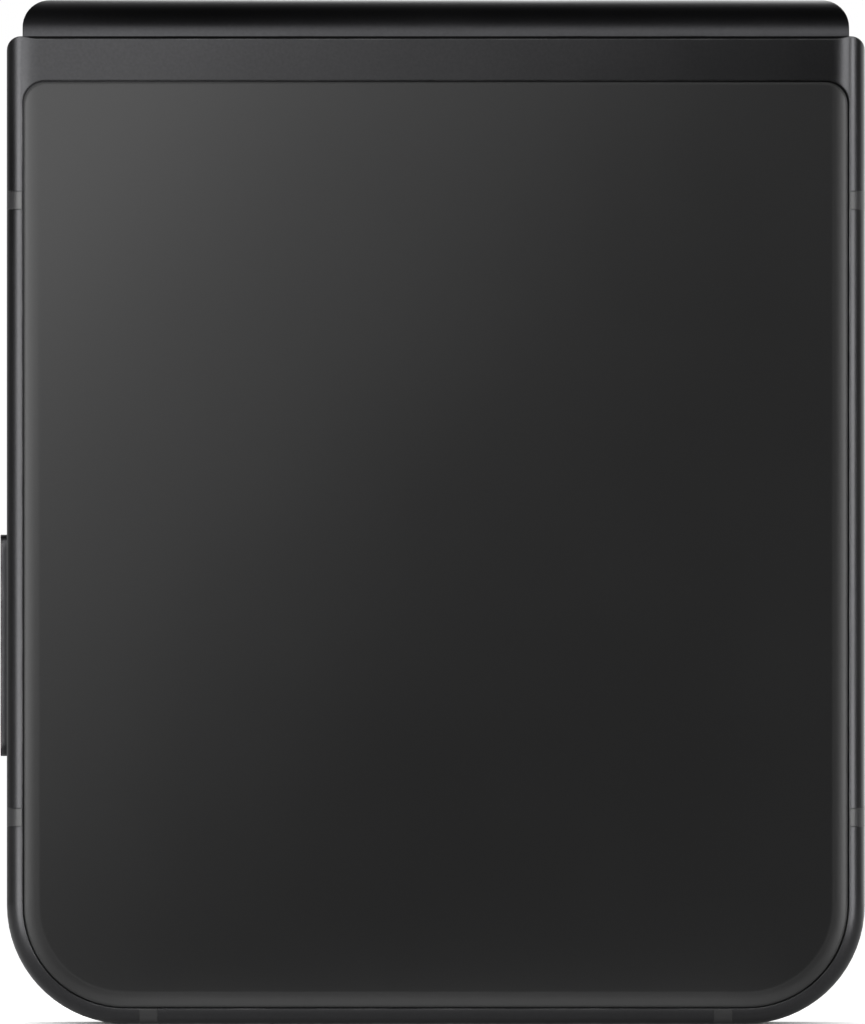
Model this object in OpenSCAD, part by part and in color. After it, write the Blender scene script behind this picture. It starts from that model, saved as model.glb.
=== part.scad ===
// Folding-screen flip phone, shut, standing on its far edges with the hinge on top.
// The half with the charging port is at -Y, the half with the cameras is at +Y.
// Each half is drawn lying flat: X across, Y from the far edge (0) to the hinge,
// Z from the back glass (0) to the screen. in_lower() and in_upper() stand it up.

/* [Case] */
// Width across the side rails
case_w = 72.2; // [68:0.1:76]
// Length of one half, from the far edge to the hinge edge
half_len = 83.1; // [79:0.1:87]
// Back glass to screen surface of one half
half_t = 6.9; // [6.7:0.05:7.2]
// Corner radius at the far end of each half
corner_r = 10; // [8.5:0.5:10.5]
// Corner radius in plan at the hinge end
hinge_corner_r = 1.2; // [0.6:0.1:1.8]
// Metal rim that shows round the back glass
rim_w = 1.4; // [1.2:0.05:1.6]
// Height of the front edge of the rail above the back
rail_front = 6.6; // [6.45:0.05:6.65]
// Radius of the rail's front edge
front_edge_r = 0.6; // [0.3:0.05:0.8]
// Bevel of the back edge along the hinge bar
bar_edge = 0.25; // [0.15:0.05:0.4]
// Side rail thickness around the bays
rail_w = 2.1; // [1.9:0.05:2.3]
// Height of the hinge bar that shows beyond the glass
bar_h = 3.8; // [3.4:0.1:4.4]
// Wall between the outside and the hinge bay
back_wall = 1.1; // [1.05:0.05:1.15]

/* [Glass] */
// Thickness of the back glass
glass_t = 0.6; // [0.5:0.05:0.65]
// Width of the curved edge band of the glass
glass_curve_w = 1.3; // [1:0.1:1.5]
// Radius of that curved band
glass_curve_r = 4; // [3:0.5:6]
// Open joint line round the glass
glass_gap = 0.14; // [0.1:0.02:0.2]
// Glue line under the glass
glue_t = 0.1; // [0.05:0.01:0.15]
// Corner radius of the glass at the hinge end
glass_top_r = 1.9; // [1.5:0.1:2.5]

/* [Hinge] */
// Distance between the two fold axes
axis_spread = 3.85; // [3.8:0.05:3.9]
// Gap between the two screens at the hinge when shut
screen_gap = 3.3; // [3.25:0.05:3.35]
// Joint line between the halves when open
seam_gap = 0.2; // [0.1:0.05:0.3]
// Gap between the rubber bumpers of the two halves when shut
tip_gap = 0.14; // [0.1:0.02:0.3]
// Radius of the spine cover's long edges
spine_r = 4.9; // [4.85:0.01:4.92]
// Running clearance round the spine cover
spine_clear = 0.2; // [0.15:0.01:0.25]
// Wall of the spine cover
spine_wall = 0.6; // [0.5:0.05:0.65]
// Inset of the spine's ends from the case sides
spine_inset = 1.33; // [1.25:0.01:1.4]
// Corner radius of the spine's ends
spine_end_r = 2.3; // [2:0.1:2.4]
// Radius of the sync shafts
shaft_r = 0.5; // [0.4:0.02:0.55]
// Pitch radius of the sync gears
gear_pitch_r = 1.3; // [1.28:0.01:1.3]
// Width of a curved rotor
rotor_w = 2.2; // [1.8:0.1:2.4]
// Distance of each hinge module from the middle
module_x = 19.5; // [17:0.5:23]
// Width of the flex cables through the hinge
flex_w = 6; // [4:0.5:7]

/* [Screen] */
// Thickness of the folding panel
screen_t = 0.4; // [0.3:0.05:0.4]
// Thickness of the steel plate behind the screen
plate_t = 0.3; // [0.2:0.05:0.3]
// Length of panel on each side of the seam that bends
fold_len = 8; // [7.5:0.1:8.5]
// Width of the screen border, from the case side to the picture
bezel_w = 3.4; // [3.2:0.1:3.8]
// Height of the screen border above the screen
bezel_h = 0.75; // [0.6:0.05:0.76]
// Height of the rubber bumpers on the border
bumper_h = 0.24; // [0.2:0.01:0.25]

/* [Cover side] */
// Length of the glossy window that holds the cameras
window_h = 30; // [28:0.5:31]
// Outer radius of a camera ring
ring_r = 5.2; // [4.6:0.1:5.6]
// How far the camera rings stand proud of the glass
ring_h = 0.9; // [0.5:0.1:1.3]
// Distance of the cameras from the key side
camera_inset = 10; // [9:0.5:12]
// Distance of the first camera from the far edge
camera_y = 9.5; // [9:0.5:10]
// Distance between the cameras
camera_step = 12.6; // [12:0.1:13]
// Width of the cover screen's picture
cover_screen_w = 41; // [38:0.5:42]
// Height of the cover screen's picture
cover_screen_h = 21; // [19:0.5:21.5]

/* [Edges] */
// Length of the volume key
volume_len = 18.7; // [16:0.1:20]
// Middle of the volume key from the middle of the power key
key_step = 21.2; // [20.5:0.1:21.5]
// How far the volume key stands proud of the side
volume_proud = 0.65; // [0.5:0.05:0.7]
// Length of the power key
power_len = 12.5; // [11:0.1:13.5]
// Middle of the power key from the hinge edge
power_top = 30.1; // [29.6:0.1:31]
// Width of the keys across the rail
key_t = 2; // [1.8:0.1:2.1]
// Travel of the power key
key_travel = 0.2; // [0.15:0.01:0.25]
// Running clearance round a key
key_clear = 0.12; // [0.1:0.01:0.15]
// Width of the SIM tray's head along the side
tray_w = 14.4; // [13.8:0.1:14.6]
// Length of the SIM tray into the case
tray_len = 21; // [19.5:0.1:21.5]
// Middle of the SIM tray from the far edge
tray_y = 26.7; // [26.5:0.1:27]
// Width of the plastic breaks in the rails
band_w = 1.5; // [1.2:0.1:1.8]
// First break in the side rails, below the end of the volume key
band_below = 5.05; // [4.5:0.05:5.5]
// Second break in the side rails, from the hinge edge
band_near = 13.8; // [13:0.1:15]
// Breaks in the far edge, from the middle
band_x = 24.17; // [23:0.05:25]
// Length of one speaker slot
slot_len = 1.9; // [1.6:0.1:2]
// Width of one speaker slot
slot_w = 1.0; // [0.8:0.05:1.2]
// Number of speaker slots
slot_count = 5; // [3:1:5]

/* [Colours] */
// Black aluminium
metal_colour = "#1c1c1e";
// Back glass
glass_colour = "#2b2b2d";
// Moulded black plastic
plastic_colour = "#3a3a3c";
// Steel and nickel pieces
steel_colour = "#9a9a9c";

/* [Hidden] */

$fn = 64;
eps = 0.01;              // overlap of cuts past a face
past = 20;               // length of a cut that runs out of the part
case_x = case_w / 2;

// Section of the rail: glass curve and rail curve meet on one tangent.
curve_sin = glass_curve_w / glass_curve_r;
curve_cos = sqrt(1 - curve_sin * curve_sin);
rim_r = rim_w / (1 - curve_sin);
rim_v = glass_curve_r * (1 - curve_cos) + rim_r * curve_cos;
flat_inset = rim_w + glass_curve_w;

// Layers, from the back glass at 0
seat_v = glass_t + glue_t;           // ledge that the glass is glued to
bay_v = back_wall;                   // underside of that ledge
mid_v = 5.5;                         // mid-plate, back side
mid_top_v = 6.1;                     // mid-plate, screen side
layer_gap = 0.05;                    // glue line between stacked layers
plate_v = mid_top_v + layer_gap;
screen_v = half_t - screen_t;
bezel_v = half_t + layer_gap;
bezel_top_v = half_t + bezel_h;

// Plan of one half
bay_x = case_x - rail_w;             // inner face of the side rails
bay_y0 = 2.3;                        // inner face of the far rail
bay_y1 = half_len - 13.3;            // near face of the cross bar
ledge_w = 1.1;                       // ledge under the glass edge
recess_inset = 2;                    // screen recess from the case side
glass_x = case_x - rim_w - glass_gap / 2;
glass_y1 = half_len - bar_h;
fold_y = half_len + seam_gap / 2 - fold_len - 0.02;  // where the panel starts to bend
screen_x = case_x - recess_inset - 0.15;
plate_x = screen_x - 0.3;
bezel_x = case_x - front_edge_r;

// Fold axes
pivot_y = axis_spread / 2;
pivot_v = half_t + screen_gap / 2 - pivot_y;
nose_r = pivot_y - seam_gap / 2;     // rounded hinge-side nose of each half
pivot_h = half_len - nose_r;
bumper_mid = (recess_inset + bezel_w) / 2;
tip_v = bezel_top_v + bumper_h;
// Each half leans in until its bumpers nearly meet the other's
shut_lean = asin((pivot_y + pivot_v - tip_v - tip_gap / 2) / (pivot_h - bumper_mid));
swing_r = pivot_v - back_wall;       // bay that the spine swings in
axis_z = pivot_h * cos(shut_lean) + (pivot_v - rim_v) * sin(shut_lean);

// Spine and hinge modules, measured from the fold axes
spine_half = pivot_y + swing_r - spine_clear - spine_r;
spine_x = case_x - spine_inset;
end_gap = 0.15;                      // spine end to hinge bay
hinge_bay_x = spine_x + end_gap;
leg_z = 0.8;                         // lower edge of the spine's legs
block_z = 0.68;                      // screen side of the hinge blocks
block_gap = 0.05;                    // blocks to spine
inner_r = spine_r - spine_wall - block_gap;
base_z = 3.75;                       // underside of the block's base
run = 0.05;                          // running clearance of rotors and shafts
rotor_r0 = 2.3;
rotor_r1 = 3.5;
rotor_from = 25;                     // arc of a rotor, degrees from the hinge side
rotor_to = 150;
neck_v0 = 0.75;                      // rotor neck, below the fold axis
neck_v1 = 1.65;
notch_z = neck_v1 + 0.07;            // top of the notches for arms and rotors
side_gap = 0.1;                      // rotor or gear to the wall beside it
wall_w = 0.8;                        // walls of the hinge block
slot_s = rotor_w + 2 * side_gap;

// Stations along a hinge module, outwards from the middle of the phone
gear_w = 1.8;
arm_w = 2.4;
follower_w = 1.4;
spring_len = 4.2;
gear_s0 = -gear_w - 0.6;
wall1_s0 = gear_s0 - side_gap - 0.1 - wall_w;
upper_slot_s0 = wall1_s0 - slot_s;
mid_wall_s0 = upper_slot_s0 - wall_w;
lower_slot_s0 = mid_wall_s0 - slot_s;
block_s0 = lower_slot_s0 - wall_w;
wall2_s0 = gear_s0 + gear_w + side_gap + 0.1;
arm_s0 = wall2_s0 + wall_w + 0.2;
follower_s0 = arm_s0 + arm_w + 0.2;
spring_s0 = follower_s0 + follower_w + 0.1;
wall3_s0 = spring_s0 + spring_len + 0.1;
block_s1 = wall3_s0 + wall_w;

// Sync gears: four in a row, the outer two on the arm shafts
shaft_y = 3 * gear_pitch_r;
idler_y = gear_pitch_r;
shaft_z = 2.15;
teeth = 10;
tooth_out = 0.2;                     // tooth above the pitch circle
tooth_in = 0.27;                     // root below it
tooth_slack = 0.1;                   // backlash on the pitch circle
arm_v0 = 0.8;                        // arm plate from its shaft
arm_v1 = 1.3;
arm_end_z = -7;                      // far end of an arm when shut
arm_side = 0.15;                     // side clearance of an arm's pocket

// Springs on the shafts
wire_r = 0.13;
coil_r = 0.85;
coil_turns = 5;

// Keys and tray sit in the middle of the flat of the rail
power_y = half_len - power_top;
volume_y = power_y - key_step;
band_far = volume_y - volume_len / 2 - band_below;
key_v = 4.05;
flange_t = 0.4;
flange_lip = 0.6;
rest_gap = 0.1;                      // flange to the rail at rest
rocker_gap = 0.25;                   // the same for the volume key, which rocks
power_proud = 0.1;                   // cap above the floor of its scoop
scoop_d = 0.3;
scoop_w = 3.2;
tray_t = 1.3;
tray_head_t = 2.2;
tray_head_d = 0.9;
tray_gap = 0.1;
sim_w = 8.8;
sim_len = 12.3;
eject_r = 0.4;
eject_step = 1.6;

// Charging port
port_v = 3.9;
port_out_w = 8.9;
port_out_t = 3.1;
port_wall = 0.3;
port_len = 7.2;
port_gap = 0.1;
port_inset = 0.25;
tongue_t = 0.7;
tongue_y0 = 1.2;

// Rubber bumpers
bumper_x = 18;
bumper_y = 15;
bumper_len = 7;
bumper_w = 1;
band_depth = 1.3;                    // depth of a plastic break in its rail

// Closing magnets, against the side rails
magnet_w = 1.6;
magnet_len = 7.5;
magnet_x = bay_x - 0.1 - magnet_w / 2;
magnet_y1 = bay_y1 - 1.3;

// Boards, batteries and coil
board_t = 0.6;
board_gap = 0.7;                     // board to the far rail
sub_board_y1 = 16.4;
sub_board_x0 = -bay_x + 2;
sub_board_v = bay_v + 0.5;
sub_top_v = sub_board_v + board_t;
main_board_y1 = 34.6;
main_board_x = bay_x - 0.8;
main_board_v = bay_v + 0.9;
main_top_v = main_board_v + board_t;
part_top_v = mid_v - 0.2;            // tops of the larger inside pieces
battery_x = bay_x - magnet_w - 0.5;
battery_v0 = bay_v + 0.4;
battery_v1 = mid_v - 0.15;
battery_y1 = bay_y1 - 1.2;
lower_battery_y0 = sub_board_y1 + 1.2;
upper_battery_y0 = main_board_y1 + 1.4;
sheet_t = 0.25;
sheet_w = 2 * battery_x - 11.8;
sheet_len = battery_y1 - lower_battery_y0 - 5;
sheet_v = battery_v0 - 0.1 - sheet_t;
winding_turns = 8;
winding_pitch = 1.1;
winding_t = 0.35;
winding_r1 = sheet_len / 2 - 2.2;
winding_v = sheet_v - 0.05 - winding_t;
groove_d = 0.15;

// Loudspeaker, its slots and the microphones
speaker_x0 = 7.2;
speaker_x1 = bay_x - 2.5;
slot_x0 = 8.6;
slot_pitch = 2.8;
slot_x1 = slot_x0 + (slot_count - 1) * slot_pitch;
throat_h = slot_w + 0.8;
mic_x = 8.5;
mic_r = 0.5;

// Switch strip behind the keys
strip_x = -bay_x + rocker_gap + flange_t + key_travel + 0.6;
strip_t = 0.3;

// ---------------------------------------------------------------- helpers

// Block between two corners
module block(a, b) {
    translate(a) cube(b - a);
}

// Rounded rectangle, centred, with the true arcs of four circles
module rounded_rect(w, h, r) {
    square([w - 2 * r, h], center = true);
    square([w, h - 2 * r], center = true);
    for (x = [-1, 1], y = [-1, 1])
        translate([x * (w / 2 - r), y * (h / 2 - r)]) circle(r);
}

// Rounded plate between two corners
module rounded_plate(a, b, r) {
    translate([(a.x + b.x) / 2, (a.y + b.y) / 2, a.z])
        linear_extrude(b.z - a.z) rounded_rect(b.x - a.x, b.y - a.y, r);
}

// Plate that also keeps clear of the rounded inside corners of the rails
module bay_plate(a, b, r) {
    intersection() {
        rounded_plate(a, b, r);
        translate([0, 0, a.z - 1]) linear_extrude(b.z - a.z + 2)
            plan(rail_w + 0.5, half_len);
    }
}

// Slot outline with round ends, long along X
module pill(len, w) {
    square([len - w, w], center = true);
    for (x = [-1, 1]) translate([x * (len - w) / 2, 0]) circle(w / 2);
}

// Extrude a (Y, Z) section along X between two places
module along_x(x0, x1) {
    translate([x0, 0, 0]) rotate([90, 0, 90]) linear_extrude(x1 - x0) children();
}

// Stand a flat half up about its fold axis, leaning in by shut_lean
module in_lower() {
    translate([0, -pivot_y, axis_z]) rotate([shut_lean, 0, 0])
        translate([0, -pivot_v, -pivot_h]) mirror([0, 1, 0]) rotate([90, 0, 0])
            children();
}

module in_upper() {
    mirror([0, 1, 0]) in_lower() children();
}

// Hinge frame: Y and Z from the middle of the fold axes
module in_hinge() {
    translate([0, 0, axis_z]) children();
}

// The two hinge modules, with X measured outwards from each one's middle
module both_modules() {
    for (m = [0, 1]) mirror([m, 0, 0]) translate([module_x, 0, 0]) children();
}

// ------------------------------------------------------- form of one half

// Section through a rail, from the corner's centre outwards
module rail_section() {
    difference() {
        square([corner_r, rail_front]);
        difference() {
            translate([corner_r - flat_inset, -1])
                square([glass_curve_w, 1 + glass_curve_r]);
            translate([corner_r - flat_inset, glass_curve_r]) circle(glass_curve_r);
        }
        difference() {
            translate([corner_r - rim_w, -1]) square([rim_w + 1, 1 + rim_v]);
            translate([corner_r - rim_r, rim_v]) circle(rim_r);
        }
        translate([corner_r - front_edge_r, rail_front - front_edge_r])
            difference() {
                square(front_edge_r + 1);
                circle(front_edge_r);
            }
    }
}

// Whole outer form of one half: straight runs and two turned corners
module half_form() {
    span_x = case_x - corner_r;
    difference() {
        union() {
            translate([0, half_len, 0]) rotate([90, 0, 0])
                linear_extrude(half_len - corner_r) {
                    for (m = [0, 1]) mirror([m, 0])
                        translate([span_x, 0]) rail_section();
                    translate([-span_x, 0]) square([2 * span_x, rail_front]);
                }
            translate([-span_x, corner_r, 0]) rotate([90, 0, 90])
                linear_extrude(2 * span_x) mirror([1, 0]) rail_section();
            for (m = [0, 1]) mirror([m, 0, 0])
                translate([span_x, corner_r, 0]) rotate([0, 0, -90])
                    rotate_extrude(angle = 90) rail_section();
        }
        for (m = [0, 1]) mirror([m, 0, 0])
            translate([case_x - hinge_corner_r, half_len - hinge_corner_r, -1])
                linear_extrude(rail_front + 2) difference() {
                    square(hinge_corner_r + 1);
                    circle(hinge_corner_r);
                }
        along_x(-case_x - 1, case_x + 1) translate([half_len, 0])
            polygon([[-bar_edge - 1, -1], [1, bar_edge + 1], [1, -1]]);
        nose_cut();
    }
}

// Takes the hinge-side nose back to a round about the fold axis
module nose_cut() {
    along_x(-case_x - 1, case_x + 1)
        translate([pivot_h, pivot_v]) difference() {
            square(past);
            circle(nose_r);
        }
}

// Plan outline inset from the case side, with its own hinge-side edge
module plan(inset, y1, top_r = 0.5) {
    r = corner_r - inset;
    w = 2 * (case_x - inset);
    translate([-w / 2 + r, inset]) square([w - 2 * r, y1 - inset]);
    translate([-w / 2, inset + r]) square([w, y1 - inset - r - top_r]);
    translate([-w / 2 + top_r, inset + r]) square([w - 2 * top_r, y1 - inset - r]);
    for (m = [-1, 1]) {
        translate([m * (w / 2 - r), inset + r]) circle(r);
        translate([m * (w / 2 - top_r), y1 - top_r]) circle(top_r);
    }
}

// Bay that the spine and hinge swing in, open to the hinge side
module hinge_bay() {
    along_x(-hinge_bay_x, hinge_bay_x)
        translate([pivot_h, pivot_v]) {
            circle(swing_r);
            translate([-swing_r, 0]) square([past + swing_r, past]);
        }
}

// Shell of one half: rails, ledge, mid-plate, cross bar and hinge bar
module half_shell() {
    difference() {
        half_form();
        translate([0, 0, -1]) linear_extrude(seat_v + 1)
            plan(rim_w - glass_gap / 2, glass_y1 + glass_gap / 2, glass_top_r);
        translate([0, 0, seat_v - eps]) linear_extrude(bay_v - seat_v + 2 * eps)
            plan(rim_w + ledge_w, bay_y1);
        bay();
        translate([0, 0, mid_top_v]) linear_extrude(past)
            plan(recess_inset, half_len + past, 0.5);
        hinge_bay();
        block([-hinge_bay_x, bay_y1, 4.9], [hinge_bay_x, half_len + 1, past]);
        both_modules() rotor_seat();
    }
}

module bay() {
    translate([0, 0, bay_v]) linear_extrude(mid_v - bay_v) difference() {
        plan(rail_w, bay_y1);
        translate([-case_x, 0]) square([case_w, bay_y0]);
    }
}

// Tapped holes for the rotor feet, and the pocket that an arm slides in
module rotor_seat() {
    for (s = [lower_slot_s0, upper_slot_s0], y = screw_rows)
        translate([s + slot_s / 2, y, 3]) cylinder(r = screw_r, h = past);
    block([arm_s0 - arm_side, bay_y1 + 0.3, 4.4],
          [arm_s0 + arm_w + arm_side, pivot_h, past]);
}

// Places where the plastic breaks cross the rails
module band_boxes() {
    for (m = [0, 1], y = [band_far, half_len - band_near]) mirror([m, 0, 0])
        block([case_x - band_depth, y - band_w / 2, -1],
              [case_x + 1, y + band_w / 2, half_t + 1]);
    for (x = [-band_x, band_x])
        block([x - band_w / 2, -1, -1], [x + band_w / 2, band_depth, half_t + 1]);
}

module antenna_bands() {
    color(plastic_colour) intersection() {
        half_form();
        band_boxes();
        difference() {
            translate([0, 0, -2]) cube([2 * case_w, 3 * half_len, 30], center = true);
            translate([0, 0, -1]) linear_extrude(seat_v + 1)
                plan(rim_w - glass_gap / 2, glass_y1 + glass_gap / 2, glass_top_r);
        }
    }
}

// Sheet that follows the back form, between two lengths of the half
module back_sheet(y0, y1, top_r, bottom_r) {
    intersection() {
        half_form();
        translate([0, 0, -1]) linear_extrude(glass_t + 1) intersection() {
            plan(rim_w + glass_gap / 2, y1, top_r);
            translate([0, (y0 + y1 + past) / 2])
                rounded_rect(2 * case_w, y1 - y0 + past, bottom_r);
        }
        block([-case_w, y0, -1], [case_w, y1 + 1, 9]);
    }
}

module glass_seal() {
    color("black") translate([0, 0, glass_t + 0.02])
        linear_extrude(glue_t - 0.04) difference() {
            plan(rim_w + glass_gap, glass_y1 - glass_gap, glass_top_r);
            plan(rim_w + ledge_w + 0.1, bay_y1 + 4, 1);
        }
}

// Raised border round the screen, narrow beside the hinge
module bezel() {
    color(plastic_colour) difference() {
        translate([0, 0, rail_front]) linear_extrude(bezel_top_v - rail_front)
            difference() {
                plan(front_edge_r, half_len, hinge_corner_r - front_edge_r);
                plan(recess_inset, half_len + 2);
            }
        nose_cut();
        hinge_bay();
    }
    color(plastic_colour) translate([0, 0, bezel_v])
        linear_extrude(bezel_top_v - bezel_v) difference() {
            plan(recess_inset - 0.4, fold_y, 0.4);
            plan(bezel_w, fold_y + 2);
        }
}

// Rubber pads that keep the halves apart, at the far corners and edge
module bumpers() {
    color("#202022") translate([0, 0, bezel_top_v]) linear_extrude(bumper_h) {
        for (x = [-1, 1]) {
            translate([x * bumper_x, bumper_mid]) pill(bumper_len, bumper_w);
            translate([x * (case_x - bumper_mid), bumper_y]) rotate(90)
                pill(bumper_len, bumper_w);
        }
    }
}

module screen_plate() {
    color(steel_colour) translate([0, 0, plate_v]) linear_extrude(plate_t)
        intersection() {
            plan(case_x - plate_x, fold_y + 3);
            translate([-case_x, 0]) square([case_w, fold_y]);
        }
}

module screen() {
    color("#0a0a0c") translate([0, 0, screen_v]) linear_extrude(screen_t)
        intersection() {
            plan(case_x - screen_x, fold_y + 3);
            translate([-case_x, 0]) square([case_w, fold_y]);
        }
}

// ------------------------------------------------------ rotors and screws

screw_r = 0.6;
screw_head_r = 1.0;
screw_head_t = 0.35;
screw_rows = [bay_y1 + 1.2, bay_y1 + 3.8];
foot_w = 3;
foot_v = pivot_v - neck_v1;          // underside of a rotor's foot

module ring_sector(r0, r1, from, to) {
    difference() {
        circle(r1);
        circle(r0);
        // the open part of the ring, cut away by a fan of triangles
        polygon(concat([[0, 0]],
            [for (a = [to : (360 + from - to) / 6 : 360 + from + 0.001])
                4 * r1 * [cos(a), -sin(a)]]));
    }
}

// Curved rotor on its neck and foot, screwed to the cross bar
module rotor(x) {
    color(steel_colour) {
        along_x(x - rotor_w / 2, x + rotor_w / 2)
            translate([pivot_h, pivot_v]) {
                ring_sector(rotor_r0, rotor_r1, rotor_from, rotor_to);
                difference() {
                    translate([bay_y1 + 0.2 - pivot_h, -neck_v1])
                        square([pivot_h - bay_y1 - 1.2, neck_v1 - neck_v0]);
                    circle(rotor_r0);
                }
            }
    }
}

module rotors(slot_s0) {
    difference() {
        both_modules() union() {
            rotor(slot_s0 + slot_s / 2);
            color(steel_colour)
                block([slot_s0 + slot_s / 2 - foot_w / 2, bay_y1 + 0.2, foot_v],
                      [slot_s0 + slot_s / 2 + foot_w / 2, bay_y1 + 5.2,
                       pivot_v - neck_v0]);
        }
        both_modules() for (y = screw_rows)
            translate([slot_s0 + slot_s / 2, y, 0]) {
                cylinder(r = screw_r + 0.05, h = past);
                translate([0, 0, pivot_v - neck_v0 - 0.3])
                    cylinder(r = screw_head_r + 0.05, h = past);
            }
    }
}

module case_screw(length) {
    color(steel_colour) difference() {
        union() {
            cylinder(r = screw_head_r, h = screw_head_t);
            translate([0, 0, -length]) cylinder(r = screw_r, h = length + eps);
        }
        for (a = [0, 90]) rotate(a)
            block([-0.65, -0.12, screw_head_t - 0.18], [0.65, 0.12, 1]);
    }
}

module rotor_screws(slot_s0) {
    both_modules() for (y = screw_rows)
        translate([slot_s0 + slot_s / 2, y, pivot_v - neck_v0 - 0.28])
            case_screw(2);
}

// ------------------------------------------------------------ lower half

module port_outline(w, t) {
    rounded_rect(w, t, t / 2 - eps);
}

module speaker_slots(depth) {
    for (i = [0 : slot_count - 1])
        translate([slot_x0 + i * slot_pitch, depth, port_v]) rotate([90, 0, 0])
            linear_extrude(depth + 1) pill(slot_len, slot_w);
}

module lower_frame() {
    color(metal_colour) difference() {
        half_shell();
        band_boxes();
        translate([0, bay_y0 + 1, port_v]) rotate([90, 0, 0])
            linear_extrude(past) port_outline(port_out_w + 2 * port_gap,
                                             port_out_t + 2 * port_gap);
        speaker_slots(bay_y0 + 1);
        translate([-mic_x, bay_y0 + 1, port_v]) rotate([90, 0, 0])
            cylinder(r = mic_r, h = past);
    }
}

module lower_back_glass() {
    color(glass_colour) back_sheet(0, glass_y1 - glass_gap / 2, glass_top_r, 1);
}

module lower_battery() {
    color("#2f3033") rounded_plate([-battery_x, lower_battery_y0, battery_v0],
                                   [battery_x, battery_y1, battery_v1], 2);
}

// Flat wound coil on its ferrite sheet, under the back glass
module charging_coil() {
    r0 = winding_r1 - winding_turns * winding_pitch;
    coil_y = (lower_battery_y0 + battery_y1) / 2;
    color("#b06a3a") translate([0, coil_y, winding_v]) difference() {
        cylinder(r = winding_r1, h = winding_t);
        translate([0, 0, -1]) cylinder(r = r0, h = winding_t + 2);
        for (i = [1 : winding_turns - 1]) translate([0, 0, -eps])
            difference() {
                cylinder(r = r0 + i * winding_pitch + 0.1, h = groove_d);
                translate([0, 0, -1])
                    cylinder(r = r0 + i * winding_pitch - 0.1, h = groove_d + 2);
            }
    }
    color("#303030") translate([0, coil_y, sheet_v])
        linear_extrude(sheet_t) rounded_rect(sheet_w, sheet_len, 4);
}

module sub_board() {
    y0 = bay_y0 + board_gap;
    color("#1d4a34") bay_plate([sub_board_x0, y0, sub_board_v],
                               [speaker_x0 - 0.6, sub_board_y1, sub_top_v], 0.8);
    color("#222222") rounded_plate([-14, sub_board_y1 - 6.4, sub_top_v],
                                   [-8, sub_board_y1 - 2.4, sub_top_v + 1], 0.3);
    color("#222222") rounded_plate([sub_board_x0 + 2, sub_board_y1 - 3.8, sub_top_v],
                                   [sub_board_x0 + 10, sub_board_y1 - 0.8, sub_top_v + 1.4],
                                   0.3);
}

module port_shell() {
    color(steel_colour) translate([0, port_len + port_inset, port_v]) rotate([90, 0, 0])
        difference() {
            linear_extrude(port_len) port_outline(port_out_w, port_out_t);
            translate([0, 0, port_wall]) linear_extrude(port_len)
                port_outline(port_out_w - 2 * port_wall, port_out_t - 2 * port_wall);
        }
}

module port_tongue() {
    x = port_out_w / 2 - 1.15;
    color("#1a1a1a") rounded_plate(
        [-x, tongue_y0, port_v - tongue_t / 2],
        [x, port_len - port_wall + port_inset, port_v + tongue_t / 2], 0.3);
}

module loudspeaker() {
    color(plastic_colour) difference() {
        bay_plate([speaker_x0, bay_y0 + 0.3, bay_v + 0.4],
                  [speaker_x1, sub_board_y1 - 0.2, part_top_v], 1);
        block([slot_x0 - 0.6, -1, port_v - throat_h / 2],
              [slot_x1 + 1.2, bay_y0 + 1.9, port_v + throat_h / 2]);
    }
}

module speaker_mesh() {
    color("#505052")
        block([slot_x0 - 1.2, bay_y0 + 0.03, port_v - throat_h / 2],
              [slot_x1 + 1.6, bay_y0 + 0.2, port_v + throat_h / 2]);
}

module haptic_motor() {
    color(steel_colour) rounded_plate(
        [-20, bay_y0 + board_gap + 1, sub_top_v + 0.1],
        [-9.5, bay_y0 + board_gap + 5.6, part_top_v - 0.1], 0.6);
}

module magnets() {
    color(steel_colour) for (m = [-1, 1])
        block([m * magnet_x - magnet_w / 2, magnet_y1 - magnet_len, bay_v + 0.9],
              [m * magnet_x + magnet_w / 2, magnet_y1, mid_v - 0.5]);
}

// --------------------------------------------------------- hinge assembly

// Section of the spine: a slot shape, cut off below the legs
module spine_section(r, z0) {
    intersection() {
        union() {
            for (y = [-1, 1]) translate([y * spine_half, 0]) circle(r);
            square([2 * spine_half, 2 * r], center = true);
        }
        translate([-past, z0]) square([2 * past, past]);
    }
}

// Front outline of the spine, with rounded top corners
module spine_outline(x, r) {
    h = spine_r;
    translate([-x, -2]) square([2 * x, h + 2 - r]);
    translate([-x + r, -2]) square([2 * (x - r), h + 2]);
    for (m = [-1, 1]) translate([m * (x - r), h - r]) circle(r);
}

// Openings in the legs for what sticks out of them: side -1 lower, 1 upper
module leg_notch(side, s0, s1) {
    translate([s0 - 0.3, side > 0 ? 0 : -past, -1])
        cube([s1 - s0 + 0.6, past, notch_z + 1]);
}

module hinge_spine() {
    color(metal_colour) in_hinge() difference() {
        intersection() {
            along_x(-spine_x, spine_x) spine_section(spine_r, leg_z);
            rotate([90, 0, 0]) translate([0, 0, -past]) linear_extrude(2 * past)
                spine_outline(spine_x, spine_end_r);
        }
        intersection() {
            along_x(-spine_x + 0.9, spine_x - 0.9)
                spine_section(spine_r - spine_wall, -1);
            rotate([90, 0, 0]) translate([0, 0, -past]) linear_extrude(2 * past)
                translate([0, -spine_wall])
                    spine_outline(spine_x - 0.9, spine_end_r - 0.6);
        }
        both_modules() {
            leg_notch(-1, lower_slot_s0, lower_slot_s0 + slot_s);
            leg_notch(1, upper_slot_s0, upper_slot_s0 + slot_s);
            leg_notch(-1, arm_s0, arm_s0 + arm_w);
            leg_notch(1, arm_s0, arm_s0 + arm_w);
        }
    }
}

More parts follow.
